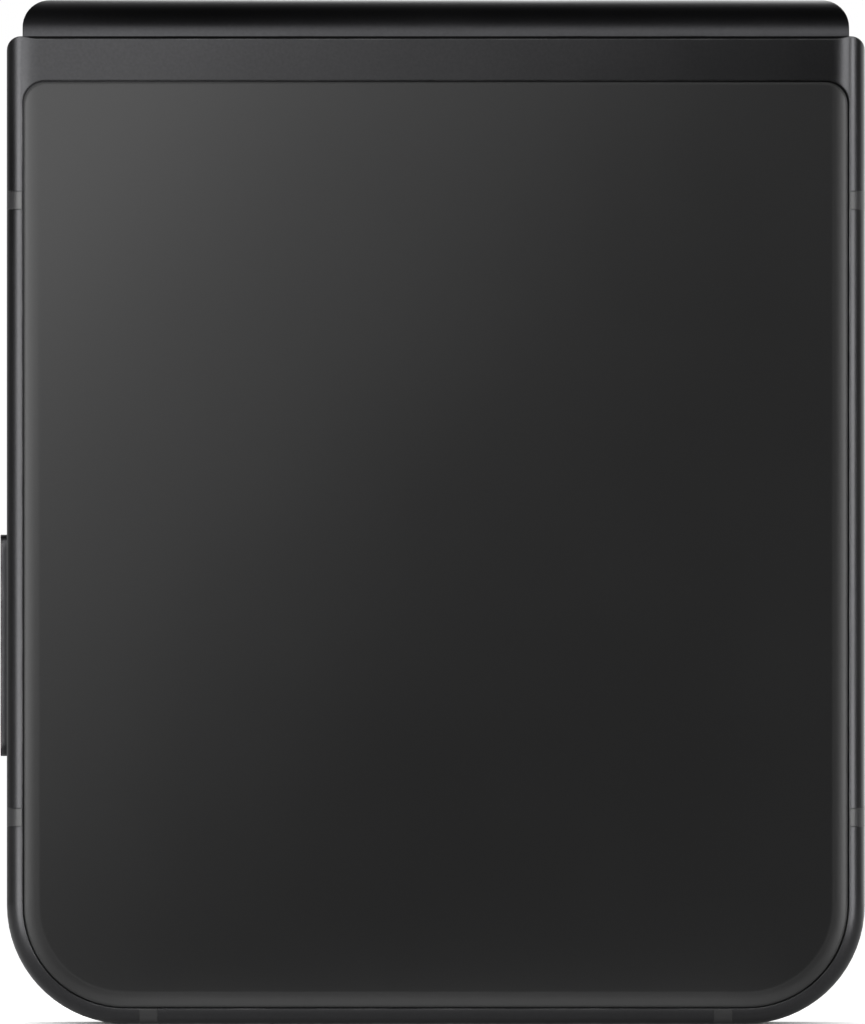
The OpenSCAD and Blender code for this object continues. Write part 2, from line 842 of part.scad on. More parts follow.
// Plastic caps that close the spine's ends beside the screen's bend
module hinge_end_caps() {
    cap_r = nose_r + 0.9;
    color(plastic_colour) in_hinge() for (m = [0, 1]) mirror([m, 0, 0])
        along_x(screen_x + 0.15, spine_x) difference() {
            intersection() {
                union() {
                    spine_section(cap_r, -0.28);
                    translate([-pivot_y, -0.28]) square([2 * pivot_y, 2]);
                }
                translate([-past, -past]) square([2 * past, past + leg_z - 0.05]);
            }
        }
}

// Carrier of one hinge module: track block, bearing walls and base
module hinge_block() {
    difference() {
        union() {
            along_x(block_s0, wall1_s0 + wall_w) spine_section(inner_r, block_z);
            along_x(wall2_s0, wall2_s0 + wall_w) spine_section(inner_r, block_z);
            along_x(wall3_s0, block_s1) spine_section(inner_r, block_z);
            along_x(block_s0, block_s1) spine_section(inner_r, base_z);
        }
        rotor_track(-1, lower_slot_s0);
        rotor_track(1, upper_slot_s0);
        for (y = [-shaft_y, -idler_y, idler_y, shaft_y])
            translate([wall1_s0 + 0.15, y, shaft_z]) rotate([0, 90, 0])
                cylinder(r = shaft_r + run, h = wall2_s0 + wall_w - wall1_s0);
        for (y = [-shaft_y, shaft_y])
            translate([wall3_s0 - 1, y, shaft_z]) rotate([0, 90, 0])
                cylinder(r = shaft_r + run, h = wall_w + 0.85);
        for (s = screw_stations)
            translate([s, 0, 0]) cylinder(r = block_screw_r, h = past);
    }
}

block_screw_r = 0.5;
screw_stations = [arm_s0 + arm_w / 2, spring_s0 + spring_len / 2];

// Arc-shaped track that a rotor runs in, and the way its neck swings out
module rotor_track(side, s0) {
    along_x(s0, s0 + slot_s) {
        difference() {
            translate([side * pivot_y, 0]) circle(rotor_r1 + run);
            translate([side * pivot_y, 0]) circle(rotor_r0 - run);
        }
        difference() {
            translate([side > 0 ? pivot_y : -past - pivot_y, -1])
                square([past, 1 + notch_z]);
            translate([side * pivot_y, 0]) circle(rotor_r0 - run);
        }
    }
}

module hinge_blocks() {
    color(steel_colour) in_hinge() both_modules() hinge_block();
}

module block_screws() {
    color(steel_colour) in_hinge() both_modules() for (s = screw_stations)
        translate([s, 0, base_z - 0.3]) {
            cylinder(r = block_screw_r - 0.05, h = inner_r - base_z + 0.3);
            cylinder(r = 0.9, h = 0.3);
        }
}

// Cam follower: one plate that slides on both shafts
module cam_followers() {
    color(steel_colour) in_hinge() both_modules()
        along_x(follower_s0, follower_s0 + follower_w) difference() {
            union() {
                translate([-shaft_y, shaft_z - 0.7]) square([2 * shaft_y, 1.4]);
                for (y = [-shaft_y, shaft_y]) translate([y, shaft_z]) circle(1.3);
            }
            for (y = [-shaft_y, shaft_y]) translate([y, shaft_z])
                circle(shaft_r + run);
        }
}

// One unbroken helix swept as a tube with flat ends
function helix_point(t, turns, r, len) =
    [len * t, r * cos(360 * turns * t), r * sin(360 * turns * t)];

module helix(turns, r, len, wire, steps, sides) {
    n = turns * steps;
    rise = len / turns;
    slope = atan(rise / (2 * PI * r));
    points = [for (i = [0 : n], k = [0 : sides - 1])
        let (t = i / n, a = 360 * turns * t, b = 360 * k / sides,
             c = helix_point(t, turns, r, len),
             out = wire * cos(b), up = wire * sin(b))
        c + [up * cos(slope), out * cos(a) + up * sin(slope) * sin(a),
             out * sin(a) - up * sin(slope) * cos(a)]];
    sides_faces = [for (i = [0 : n - 1], k = [0 : sides - 1])
        let (k2 = (k + 1) % sides, p = i * sides, q = p + sides)
        each [[p + k, q + k, q + k2], [p + k, q + k2, p + k2]]];
    ends = [[for (k = [0 : sides - 1]) k],
            [for (k = [sides - 1 : -1 : 0]) n * sides + k]];
    polyhedron(points, concat(sides_faces, ends), convexity = 8);
}

module hinge_springs() {
    color(steel_colour) in_hinge() both_modules()
        for (y = [-shaft_y, shaft_y])
            translate([spring_s0 + wire_r + 0.02, y, shaft_z])
                helix(coil_turns, coil_r, spring_len - 2 * wire_r - 0.04,
                      wire_r, 12, 6);
}

// Gear outline: straight-flanked teeth with backlash
module gear_outline(phase) {
    step = 360 / teeth;
    half = (180 * gear_pitch_r / teeth * PI / 180 - tooth_slack) / 2;
    root_r = gear_pitch_r - tooth_in;
    tip_r = gear_pitch_r + tooth_out;
    root_a = (half + 0.16) / root_r * 180 / PI / 1.25;
    pitch_a = half / gear_pitch_r * 180 / PI;
    tip_a = (half - 0.1) / tip_r * 180 / PI;
    polygon([for (i = [0 : teeth - 1]) let (a = phase + i * step)
        each [
            root_r * [cos(a - root_a), sin(a - root_a)],
            gear_pitch_r * [cos(a - pitch_a), sin(a - pitch_a)],
            tip_r * [cos(a - tip_a), sin(a - tip_a)],
            tip_r * [cos(a + tip_a), sin(a + tip_a)],
            gear_pitch_r * [cos(a + pitch_a), sin(a + pitch_a)],
            root_r * [cos(a + root_a), sin(a + root_a)],
        ]]);
}

module sync_gear(y, phase) {
    translate([gear_s0, y, shaft_z]) rotate([90, 0, 90])
        linear_extrude(gear_w) gear_outline(phase);
}

module sync_shafts(side, phase) {
    color(steel_colour) in_hinge() both_modules() union() {
        sync_gear(side * shaft_y, phase);
        translate([wall1_s0 + 0.2, side * shaft_y, shaft_z]) rotate([0, 90, 0])
            cylinder(r = shaft_r, h = block_s1 - wall1_s0 - 0.4);
    }
}

module idlers(side, phase) {
    color(steel_colour) in_hinge() both_modules() union() {
        sync_gear(side * idler_y, phase);
        translate([wall1_s0 + 0.2, side * idler_y, shaft_z]) rotate([0, 90, 0])
            cylinder(r = shaft_r, h = wall2_s0 + wall_w - wall1_s0 - 0.3);
    }
}

// Arm pressed on its shaft, sliding in a pocket of the half
module arm_section() {
    difference() {
        union() {
            circle(arm_v1);
            translate([arm_v0, arm_end_z - shaft_z])
                square([arm_v1 - arm_v0, shaft_z - arm_end_z]);
        }
        circle(shaft_r);
    }
}

module lower_arms() {
    color(steel_colour) in_hinge() both_modules()
        translate([arm_s0, -shaft_y, shaft_z]) rotate([shut_lean, 0, 0])
            rotate([90, 0, 90]) linear_extrude(arm_w) arm_section();
}

module upper_arms() {
    mirror([0, 1, 0]) lower_arms();
}

// Angle that the panel has turned at a distance from the seam
function fold_turn(d) = let (t = min(1, d / axis_spread))
    (90 + shut_lean) * t * t * (3 - 2 * t);

// Panel point when shut, from its place when open: distance d, depth v
function fold_point(d, v) = let (
    a = fold_turn(d), y = d - pivot_y, z = v + pivot_v - half_t)
    [pivot_y + y * cos(a) + z * sin(a), z * cos(a) - y * sin(a)];

fold_steps = 22;

// The bent middle of the screen, hanging between the halves
module screen_fold() {
    outer = [for (i = [0 : fold_steps]) fold_point(fold_len * i / fold_steps, 0)];
    inner = [for (i = [0 : fold_steps]) fold_point(fold_len * i / fold_steps, screen_t)];
    n = fold_steps;
    color("#0a0a0c") in_hinge() along_x(-screen_x, screen_x)
        polygon(concat(
            [for (i = [n : -1 : 0]) [-outer[i].x, outer[i].y]],
            [for (i = [1 : n]) outer[i]],
            [for (i = [n : -1 : 0]) inner[i]],
            [for (i = [1 : n]) [-inner[i].x, inner[i].y]]));
}

// Two flex cables that loop over the screen's bend
module hinge_flex_cables() {
    flex_r = 2.95;
    flex_t = 0.15;
    loop_z = -0.6;
    leg_end = bay_y1 + 0.9 - pivot_h;
    color("#8a5a2a") in_hinge() for (m = [-1, 1])
        along_x(m * 5 - flex_w / 2, m * 5 + flex_w / 2) {
            translate([0, loop_z]) intersection() {
                difference() {
                    circle(flex_r);
                    circle(flex_r - flex_t);
                }
                translate([-past, 0]) square([2 * past, past]);
            }
            for (y = [-1, 1])
                translate([y * (flex_r - flex_t / 2), (loop_z + leg_end) / 2])
                    square([flex_t, loop_z - leg_end + eps], center = true);
        }
}

// ------------------------------------------------------------ upper half

camera_x = -case_x + camera_inset;
camera_ys = [camera_y, camera_y + camera_step];
window_y1 = window_h + 1.4;
flash_at = [camera_x + 9.2, camera_y + camera_step / 2];
selfie_y = 6.4;
selfie_r = 2.9;
eye_r = 1.45;
ring_wall = 1.1;
lens_t = 0.5;
flash_r = 1.5;
cover_screen_inset = 4.4;
cover_screen_y0 = 5.4;

module key_slot(y, len) {
    translate([-case_x - 1, y, key_v]) rotate([90, 0, 90])
        linear_extrude(rail_w + 2)
            pill(len + 2 * key_clear, key_t + 2 * key_clear);
}

module upper_frame() {
    color(metal_colour) difference() {
        half_shell();
        band_boxes();
        key_slot(volume_y, volume_len);
        key_slot(power_y, power_len);
        translate([-case_x - 1, power_y, key_v]) rotate([90, 0, 90])
            linear_extrude(1 + scoop_d) pill(power_len + 4, scoop_w);
        translate([bay_x - 1, tray_y, key_v]) rotate([90, 0, 90])
            linear_extrude(past) pill(tray_w + 2 * tray_gap,
                                      tray_head_t + 2 * tray_gap);
        translate([bay_x - 1, tray_y + tray_w / 2 + eject_step, key_v])
            rotate([0, 90, 0]) cylinder(r = eject_r, h = past);
        for (x = [-14, 12]) translate([x, bay_y0 + 1, key_v]) rotate([90, 0, 0])
            cylinder(r = mic_r, h = past);
        translate([0, selfie_y, mid_v - 0.5]) cylinder(r = selfie_r + 0.2, h = past);
    }
}

module upper_back_glass() {
    color(glass_colour)
        back_sheet(window_y1 + glass_gap / 2, glass_y1 - glass_gap / 2, glass_top_r, eps);
}

module cover_window() {
    color("#050506") difference() {
        back_sheet(0, window_y1 - glass_gap / 2, 0.05, eps);
        for (y = camera_ys) translate([camera_x, y, -1])
            cylinder(r = ring_r + 0.05, h = 5);
        translate([flash_at.x, flash_at.y, -1]) cylinder(r = flash_r + 0.05, h = 5);
    }
}

module cover_screen() {
    x1 = case_x - cover_screen_inset;
    color("#101014") rounded_plate(
        [x1 - cover_screen_w, cover_screen_y0, glass_t + layer_gap],
        [x1, cover_screen_y0 + cover_screen_h, glass_t + 0.95], 1.5);
}

module camera_rings() {
    color(steel_colour) for (y = camera_ys) translate([camera_x, y, 0])
        difference() {
            union() {
                translate([0, 0, -ring_h]) cylinder(r = ring_r, h = ring_h + glass_t + 0.3);
                translate([0, 0, glass_t + layer_gap]) cylinder(r = ring_r + 0.5, h = 0.3);
            }
            translate([0, 0, -ring_h - 1]) cylinder(r = ring_r - ring_wall, h = ring_h + 4);
        }
}

module camera_lenses() {
    color("#08080a") for (y = camera_ys) translate([camera_x, y, -ring_h + 0.2])
        cylinder(r = ring_r - ring_wall - 0.05, h = lens_t);
}

module camera_modules() {
    snout_z = lens_t + 0.2 - ring_h + 0.05;
    color("#1a1a1a") for (y = camera_ys) translate([camera_x, y, 0]) difference() {
        union() {
            translate([0, 0, snout_z]) cylinder(r = ring_r - 1.6, h = 2);
            translate([-ring_r, -ring_r, glass_t + 1])
                cube([2 * ring_r, 2 * ring_r, part_top_v - glass_t - 1]);
        }
        translate([0, 0, snout_z - 0.65]) cylinder(r1 = 2.9, r2 = 1.5, h = 1.6);
    }
}

module flash_lens() {
    color("#e8e0c0") translate([flash_at.x, flash_at.y, 0.02]) union() {
        cylinder(r = flash_r, h = glass_t + 0.9);
        translate([-2, -2, glass_t + 0.4]) cube([4, 4, 0.6]);
    }
}

module upper_battery() {
    color("#2f3033") rounded_plate(
        [strip_x + strip_t + 1.05, upper_battery_y0, battery_v0],
        [battery_x, battery_y1, battery_v1], 2);
}

module main_board() {
    color("#1d4a34") difference() {
        bay_plate([-main_board_x, bay_y0 + board_gap, main_board_v],
                  [main_board_x, main_board_y1, main_top_v], 0.8);
        for (y = camera_ys) translate([camera_x, y, main_board_v])
            cube([2 * ring_r + 0.6, 2 * ring_r + 0.6, 3], center = true);
        block([-bay_x, volume_y - volume_len / 2 - 1.65, main_board_v - 1],
              [strip_x + strip_t + 1.25, volume_y + volume_len / 2 + 1.65,
               main_top_v + 1]);
    }
}

module shield_cans() {
    v0 = main_top_v + layer_gap;
    y1 = main_board_y1 - 1.6;
    color(steel_colour) {
        rounded_plate([-14, y1 - 20, v0], [8, y1, v0 + 1.95], 0.5);
        rounded_plate([-14, y1 - 23.2, v0], [-3.6, y1 - 20.4, v0 + 1.55], 0.5);
    }
}

module earpiece() {
    y0 = bay_y0 + 0.9;
    color(plastic_colour)
        rounded_plate([6, y0, main_top_v + 0.1], [19, y0 + 6.4, part_top_v], 0.6);
}

module selfie_camera() {
    eye_v = screen_v - 0.6;
    color("#101012") translate([0, selfie_y, 0]) difference() {
        union() {
            translate([0, 0, main_top_v + 0.15]) cylinder(r = selfie_r, h = 3.2);
            translate([0, 0, eye_v]) cylinder(r = eye_r, h = 0.95);
        }
        translate([0, 0, screen_v + 0.2]) cylinder(r = eye_r - 0.45, h = 1);
    }
}

module upper_screen_plate() {
    difference() {
        screen_plate();
        translate([0, selfie_y, mid_v - 0.5]) cylinder(r = eye_r + 0.25, h = 3);
    }
}

module upper_screen() {
    difference() {
        screen();
        translate([0, selfie_y, mid_v - 0.5]) cylinder(r = eye_r + 0.1, h = 3);
    }
}

// Shell that the SIM tray slides into, open to the side
module sim_socket() {
    x0 = case_x - tray_len - 1.2;
    x1 = bay_x - 0.1;
    color(steel_colour) difference() {
        block([x0, tray_y - tray_w / 2 - 0.3, main_top_v + layer_gap],
              [x1, tray_y + tray_w / 2 + 0.3, part_top_v]);
        block([x0 + 0.3, tray_y - tray_w / 2, key_v - tray_t / 2 - 0.1],
              [x1 + 1, tray_y + tray_w / 2, key_v + tray_t / 2 + 0.1]);
    }
}

module sim_tray() {
    x0 = case_x - tray_len;
    head_x = case_x - tray_head_d;
    color(metal_colour) {
        translate([head_x, tray_y, key_v]) rotate([90, 0, 90])
            linear_extrude(tray_head_d) pill(tray_w, tray_head_t);
        difference() {
            block([x0, tray_y - tray_w / 2 + 0.5, key_v - tray_t / 2],
                  [head_x + eps, tray_y + tray_w / 2 - 0.5, key_v + tray_t / 2]);
            block([x0 + 1, tray_y - sim_w / 2, key_v - tray_t / 2 + 0.4],
                  [x0 + 1 + sim_len, tray_y + sim_w / 2, key_v + tray_t]);
        }
    }
}

// A key: outside cap, stem through the rail and inside flange
module key(y, len, proud, gap) {
    reach = rail_w + proud + gap;
    translate([-case_x - proud, y, key_v]) rotate([90, 0, 90]) {
        linear_extrude(reach + eps) pill(len, key_t);
        translate([0, 0, reach])
            linear_extrude(flange_t) pill(len + 2 * flange_lip, key_t + 0.7);
    }
}

module power_key() {
    color(metal_colour) key(power_y, power_len, power_proud - scoop_d, rest_gap);
}

module volume_key() {
    color(metal_colour) key(volume_y, volume_len, volume_proud, rocker_gap);
}

// Dome switches on one strip behind the keys
module key_switches() {
    power_h = 0.6 + rocker_gap - rest_gap;
    color(plastic_colour) {
        block([strip_x, volume_y - 8, key_v - 1.2],
              [strip_x + strip_t, power_y + 4, key_v + 1.2]);
        for (y = [volume_y - 6, volume_y + 6])
            translate([strip_x - 0.55, y, key_v]) rotate([0, 90, 0])
                cylinder(r = 1, h = 0.55 + eps);
        translate([strip_x - power_h + 0.05, power_y, key_v]) rotate([0, 90, 0])
            cylinder(r = 1, h = power_h - 0.05 + eps);
    }
}

// ------------------------------------------------------------------ nodes

in_lower() lower_frame();
in_lower() antenna_bands();  // lower_antenna_bands
in_lower() lower_back_glass();
in_lower() glass_seal();  // lower_glass_seal
in_lower() lower_battery();
in_lower() charging_coil();
in_lower() sub_board();
in_lower() port_shell();
in_lower() port_tongue();
in_lower() loudspeaker();
in_lower() speaker_mesh();
in_lower() haptic_motor();
in_lower() screen_plate();  // lower_screen_plate
in_lower() screen();  // lower_screen
in_lower() bezel();  // lower_bezel
in_lower() bumpers();  // lower_bumpers
in_lower() rotors(lower_slot_s0);  // lower_rotors
in_lower() rotor_screws(lower_slot_s0);  // lower_screws
in_lower() magnets();  // lower_magnets
hinge_spine();
hinge_end_caps();
hinge_blocks();
cam_followers();
hinge_springs();
block_screws();
screen_fold();
hinge_flex_cables();
lower_arms();
sync_shafts(-1, 0);  // lower_sync_shafts
idlers(-1, 18);  // lower_idlers
idlers(1, 0);  // upper_idlers
upper_arms();
sync_shafts(1, 18);  // upper_sync_shafts
in_upper() upper_frame();
in_upper() antenna_bands();  // upper_antenna_bands
in_upper() upper_back_glass();
in_upper() glass_seal();  // upper_glass_seal
in_upper() cover_window();
in_upper() cover_screen();
in_upper() camera_rings();
in_upper() camera_lenses();
in_upper() camera_modules();
in_upper() flash_lens();
in_upper() upper_battery();
in_upper() main_board();
in_upper() shield_cans();
in_upper() earpiece();
in_upper() selfie_camera();
in_upper() upper_screen_plate();
in_upper() upper_screen();
in_upper() bezel();  // upper_bezel
in_upper() bumpers();  // upper_bumpers
in_upper() rotors(upper_slot_s0);  // upper_rotors
in_upper() rotor_screws(upper_slot_s0);  // upper_screws
in_upper() magnets();  // upper_magnets
in_upper() sim_socket();
in_upper() key_switches();
in_upper() sim_tray();
in_upper() power_key();
in_upper() volume_key();
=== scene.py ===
import math

import bmesh
import bpy
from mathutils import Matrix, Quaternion, Vector


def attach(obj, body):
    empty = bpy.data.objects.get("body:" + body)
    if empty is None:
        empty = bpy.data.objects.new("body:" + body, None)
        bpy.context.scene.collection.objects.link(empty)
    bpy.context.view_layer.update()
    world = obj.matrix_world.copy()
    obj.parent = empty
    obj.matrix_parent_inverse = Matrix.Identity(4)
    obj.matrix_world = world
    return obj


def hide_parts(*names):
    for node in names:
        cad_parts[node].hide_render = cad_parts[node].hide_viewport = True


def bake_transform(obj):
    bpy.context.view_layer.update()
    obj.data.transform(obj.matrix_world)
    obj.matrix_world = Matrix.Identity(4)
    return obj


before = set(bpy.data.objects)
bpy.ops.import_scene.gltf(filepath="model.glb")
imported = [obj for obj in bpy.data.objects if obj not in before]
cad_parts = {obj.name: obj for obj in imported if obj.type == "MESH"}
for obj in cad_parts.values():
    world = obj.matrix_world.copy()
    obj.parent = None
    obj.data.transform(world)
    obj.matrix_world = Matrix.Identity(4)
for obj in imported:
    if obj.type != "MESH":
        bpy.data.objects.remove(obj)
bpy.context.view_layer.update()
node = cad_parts

# ------------------------------------------------------------ table and light
# The phone stands shut on the far edges of its halves, on a pale floor. A soft
# box hangs up and to the left in front of it, with a strip light at each side.

MM = 0.001
VIEW_CENTRE = (-0.28 * MM, 43.08 * MM)
VIEW_HEIGHT = 86.1 * MM
LENS = 1200
SENSOR = 36
FRONT_FACE = -8.3 * MM
FLOOR_GREY, FLOOR_GLOW = 0.7, 0.85
SOFT_BOX, SOFT_BOX_ROLL = (0.455, 0.345), -0.662
STRIP_REACH, STRIP_TALL, STRIP_LEVEL, STRIP_AIM = 0.5, 0.3, 0.07, 0.06
WHITE = (1, 1, 1, 1)


def wire(tree, kind, inputs=None, **settings):
    """Adds a shader node; an input's value may be another node's socket."""
    new = tree.nodes.new(kind)
    for key, value in settings.items():
        setattr(new, key, value)
    for key, value in (inputs or {}).items():
        if isinstance(value, bpy.types.NodeSocket):
            tree.links.new(value, new.inputs[key])
        else:
            new.inputs[key].default_value = value
    return new


def place_camera():
    camera = bpy.data.objects.new("camera", bpy.data.cameras.new("camera"))
    bpy.context.scene.collection.objects.link(camera)
    camera.data.lens, camera.data.sensor_width = LENS, SENSOR
    distance = VIEW_HEIGHT / 2 / (SENSOR / 2 / LENS)
    camera.location = (VIEW_CENTRE[0], FRONT_FACE - distance, VIEW_CENTRE[1])
    camera.rotation_euler = (math.pi / 2, 0, 0)
    camera.data.clip_start, camera.data.clip_end = 0.1, 12
    bpy.context.scene.camera = camera


def hang_light(name, place, aim, size, radiance, roll=0.0):
    """A soft box of one brightness; the energy follows from its area."""
    lamp = bpy.data.lights.new(name, "AREA")
    lamp.shape, lamp.size, lamp.size_y = "RECTANGLE", size[0], size[1]
    lamp.energy = radiance * math.pi * size[0] * size[1]
    light = bpy.data.objects.new(name, lamp)
    bpy.context.scene.collection.objects.link(light)
    light.location = place
    turn = (Vector(aim) - Vector(place)).to_track_quat("-Z", "Y")
    turn @= Quaternion((0, 0, 1), roll)
    light.rotation_euler = turn.to_euler()
    light.visible_camera = False


def direct_rays(tree, ray):
    """Rays that see a thing itself, straight or through clear glass."""
    return wire(tree, "ShaderNodeMath",
                {0: ray.outputs["Is Camera Ray"],
                 1: ray.outputs["Is Transmission Ray"]},
                operation="MAXIMUM").outputs[0]


def lay_floor():
    """A pale floor that starts just in front of the phone. It glows evenly where
    it is seen straight. For mirrored rays it glows only in a painted pool of
    light under the middle of the phone, and ambient occlusion dims the glow near
    the phone, a painted contact shadow."""
    mesh = bpy.data.meshes.new("floor")
    mesh.from_pydata([(x, y, 0) for x, y in ((-2, -0.02), (2, -0.02), (2, 4), (-2, 4))],
                     [], [(0, 1, 2, 3)])
    floor = bpy.data.objects.new("floor", mesh)
    bpy.context.scene.collection.objects.link(floor)
    floor.location.z = -0.02 * MM
    pale = bpy.data.materials.new("pale_floor")
    pale.use_nodes = True
    tree = pale.node_tree
    tree.nodes.clear()
    matt = wire(tree, "ShaderNodeBsdfDiffuse",
                {"Color": (FLOOR_GREY, FLOOR_GREY, FLOOR_GREY, 1)})
    ray = wire(tree, "ShaderNodeLightPath")
    place = wire(tree, "ShaderNodeTexCoord")
    split = wire(tree, "ShaderNodeSeparateXYZ", {0: place.outputs["Object"]})
    across = wire(tree, "ShaderNodeMath", {0: split.outputs["X"]},
                  operation="ABSOLUTE")
    pool = wire(tree, "ShaderNodeMapRange",
                {"Value": across.outputs[0], "From Min": 22 * MM,
                 "From Max": 36 * MM, "To Min": 1.0, "To Max": 0.0},
                interpolation_type="SMOOTHSTEP")
    front = wire(tree, "ShaderNodeMapRange",
                 {"Value": split.outputs["Y"], "From Min": -9 * MM,
                  "From Max": -8 * MM, "To Min": 1.0, "To Max": 0.1})
    # Painted pool of light: mirrored rays see the glow only under the middle of the
    # phone.
    bright = wire(tree, "ShaderNodeMath",
                  {0: pool.outputs[0], 1: front.outputs[0]}, operation="MULTIPLY")
    seen = wire(tree, "ShaderNodeMath",
                {0: ray.outputs["Is Glossy Ray"], 1: bright.outputs[0],
                 2: direct_rays(tree, ray)}, operation="MULTIPLY_ADD")
    # Painted contact shadow: ambient occlusion dims the floor's glow near the phone.
    painted_contact_shadow = wire(tree, "ShaderNodeAmbientOcclusion", {"Distance": 6 * MM}, samples=4)
    level = wire(tree, "ShaderNodeMath", {0: painted_contact_shadow.outputs["AO"], 1: FLOOR_GLOW},
                 operation="MULTIPLY")
    lift = wire(tree, "ShaderNodeMath", {0: seen.outputs[0], 1: level.outputs[0]},
                operation="MULTIPLY")
    glow = wire(tree, "ShaderNodeEmission", {"Strength": lift.outputs[0]})
    both = wire(tree, "ShaderNodeAddShader",
                {0: matt.outputs[0], 1: glow.outputs[0]})
    wire(tree, "ShaderNodeOutputMaterial", {"Surface": both.outputs[0]})
    mesh.materials.append(pale)


def fill_world():
    """White where it is seen, an even grey for matt surfaces, and for mirrored
    rays dark in front and lighter behind and at the sides."""
    world = bpy.data.worlds.new("studio")
    bpy.context.scene.world = world
    world.use_nodes = True
    tree = world.node_tree
    tree.nodes.clear()
    ray = wire(tree, "ShaderNodeLightPath")
    way = wire(tree, "ShaderNodeTexCoord")
    split = wire(tree, "ShaderNodeSeparateXYZ", {0: way.outputs["Generated"]})
    behind = wire(tree, "ShaderNodeMapRange",
                  {"Value": split.outputs["Y"], "From Min": 0.4, "From Max": 1.0,
                   "To Min": 0.02, "To Max": 0.5}, interpolation_type="SMOOTHSTEP")
    across = wire(tree, "ShaderNodeMath", {0: split.outputs["X"]},
                  operation="ABSOLUTE")
    beside = wire(tree, "ShaderNodeMapRange",
                  {"Value": across.outputs[0], "From Min": 0.6, "From Max": 1.0,
                   "To Min": 0.0, "To Max": 0.06}, interpolation_type="SMOOTHSTEP")
    around = wire(tree, "ShaderNodeMath",
                  {0: behind.outputs["Result"], 1: beside.outputs["Result"]},
                  operation="ADD")
    soft = wire(tree, "ShaderNodeBackground", {"Color": WHITE, "Strength": 0.25})
    mirrored = wire(tree, "ShaderNodeBackground",
                    {"Color": WHITE, "Strength": around.outputs[0]})
    white = wire(tree, "ShaderNodeBackground", {"Color": WHITE, "Strength": 1})
    lit = wire(tree, "ShaderNodeMixShader",
               {0: ray.outputs["Is Glossy Ray"], 1: soft.outputs[0],
                2: mirrored.outputs[0]})
    final = wire(tree, "ShaderNodeMixShader",
                 {0: direct_rays(tree, ray), 1: lit.outputs[0],
                  2: white.outputs[0]})
    wire(tree, "ShaderNodeOutputWorld", {"Surface": final.outputs[0]})


place_camera()
lay_floor()
fill_world()
for place, radiance in (((-0.244, -0.093, 0.114), 0.735),
                        ((-0.266, -0.085, 0.131), 1.6)):
    hang_light("side_box", place, (place[0], 0, place[2]), SOFT_BOX, radiance,
               roll=SOFT_BOX_ROLL)
hang_light("back_box", (0.25, 0.15, 0.16), (0.25, 0, 0.16), SOFT_BOX, 1.2,
           roll=SOFT_BOX_ROLL)
hang_light("spine_light", (0, -0.289, 0.453), (0, 0, 0.083), (0.6, 0.14), 2.8)
for name, angle, width, radiance in (("left_near", -38.5, 0.13, 3.1),
                                     ("left_far", -62.5, 0.12, 6.4),
                                     ("right_near", 34, 0.14, 7.0),
                                     ("right_far", 62.5, 0.12, 9.9)):
    turn = math.radians(angle)
    hang_light(name + "_strip", (STRIP_REACH * math.sin(turn),
                                 -STRIP_REACH * math.cos(turn), STRIP_LEVEL),
               (0, 0, STRIP_AIM), (width, STRIP_TALL), radiance)
bpy.context.scene.view_settings.view_transform = "Standard"

# ---------------------------------------------------------- frames of the halves
# Each half has one machined aluminium frame: rails, far edge, mid-plate and hinge
# bar. It is bead-blasted and anodised black, and its sharp edges rub bright.


def effect(name, inputs, outputs, build):
    """One shader node group with named inputs and outputs."""
    tree = bpy.data.node_groups.new(name, "ShaderNodeTree")
    for label, value in inputs.items():
        socket = tree.interface.new_socket(label, in_out="INPUT",
                                           socket_type="NodeSocketFloat")
        socket.default_value = value
    for label, kind in outputs.items():
        tree.interface.new_socket(label, in_out="OUTPUT",
                                  socket_type="NodeSocket" + kind)
    given = tree.nodes.new("NodeGroupInput").outputs
    results = build(tree, given)
    end = tree.nodes.new("NodeGroupOutput")
    for label, socket in results.items():
        tree.links.new(socket, end.inputs[label])
    return tree


def math_node(tree, operation, a, b=None, clamp=False):
    values = {0: a} if b is None else {0: a, 1: b}
    return wire(tree, "ShaderNodeMath", values, operation=operation,
                use_clamp=clamp).outputs[0]


def build_blasted_grain(tree, given):
    place = wire(tree, "ShaderNodeTexCoord").outputs["Object"]
    fine = wire(tree, "ShaderNodeTexNoise",
                {"Vector": place, "Scale": given["Scale"], "Detail": 2.0})
    cloud = wire(tree, "ShaderNodeTexNoise",
                 {"Vector": place, "Scale": 60.0, "Detail": 3.0})
    tone = wire(tree, "ShaderNodeMapRange",
                {"Value": fine.outputs["Fac"], "From Min": 0.3, "From Max": 0.7,
                 "To Min": 0.94, "To Max": 1.06})
    spread = wire(tree, "ShaderNodeMapRange",
                  {"Value": cloud.outputs["Fac"], "From Min": 0.3, "From Max": 0.7,
                   "To Min": -1.0, "To Max": 1.0})
    return {"Height": fine.outputs["Fac"], "Tone": tone.outputs[0],
            "Cloud": spread.outputs[0]}


def build_rubbed_edge(tree, given):
    rounded = wire(tree, "ShaderNodeBevel", {"Radius": given["Width"]}, samples=4)
    flat = wire(tree, "ShaderNodeNewGeometry").outputs["Normal"]
    along = wire(tree, "ShaderNodeVectorMath",
                 {0: rounded.outputs[0], 1: flat}, operation="DOT_PRODUCT")
    off = math_node(tree, "SUBTRACT", 1.0, along.outputs["Value"])
    place = wire(tree, "ShaderNodeTexCoord").outputs["Object"]
    patchy = wire(tree, "ShaderNodeTexNoise",
                  {"Vector": place, "Scale": 250.0, "Detail": 4.0})
    some = wire(tree, "ShaderNodeMapRange",
                {"Value": patchy.outputs["Fac"], "From Min": 0.4, "From Max": 0.65})
    edge = math_node(tree, "MULTIPLY", off, 6.0, clamp=True)
    mask = math_node(tree, "MULTIPLY", edge, some.outputs[0])
    return {"Mask": math_node(tree, "MULTIPLY", mask, given["Amount"], clamp=True),
            "Edge": math_node(tree, "POWER", edge, 0.4),
            "Normal": rounded.outputs[0]}


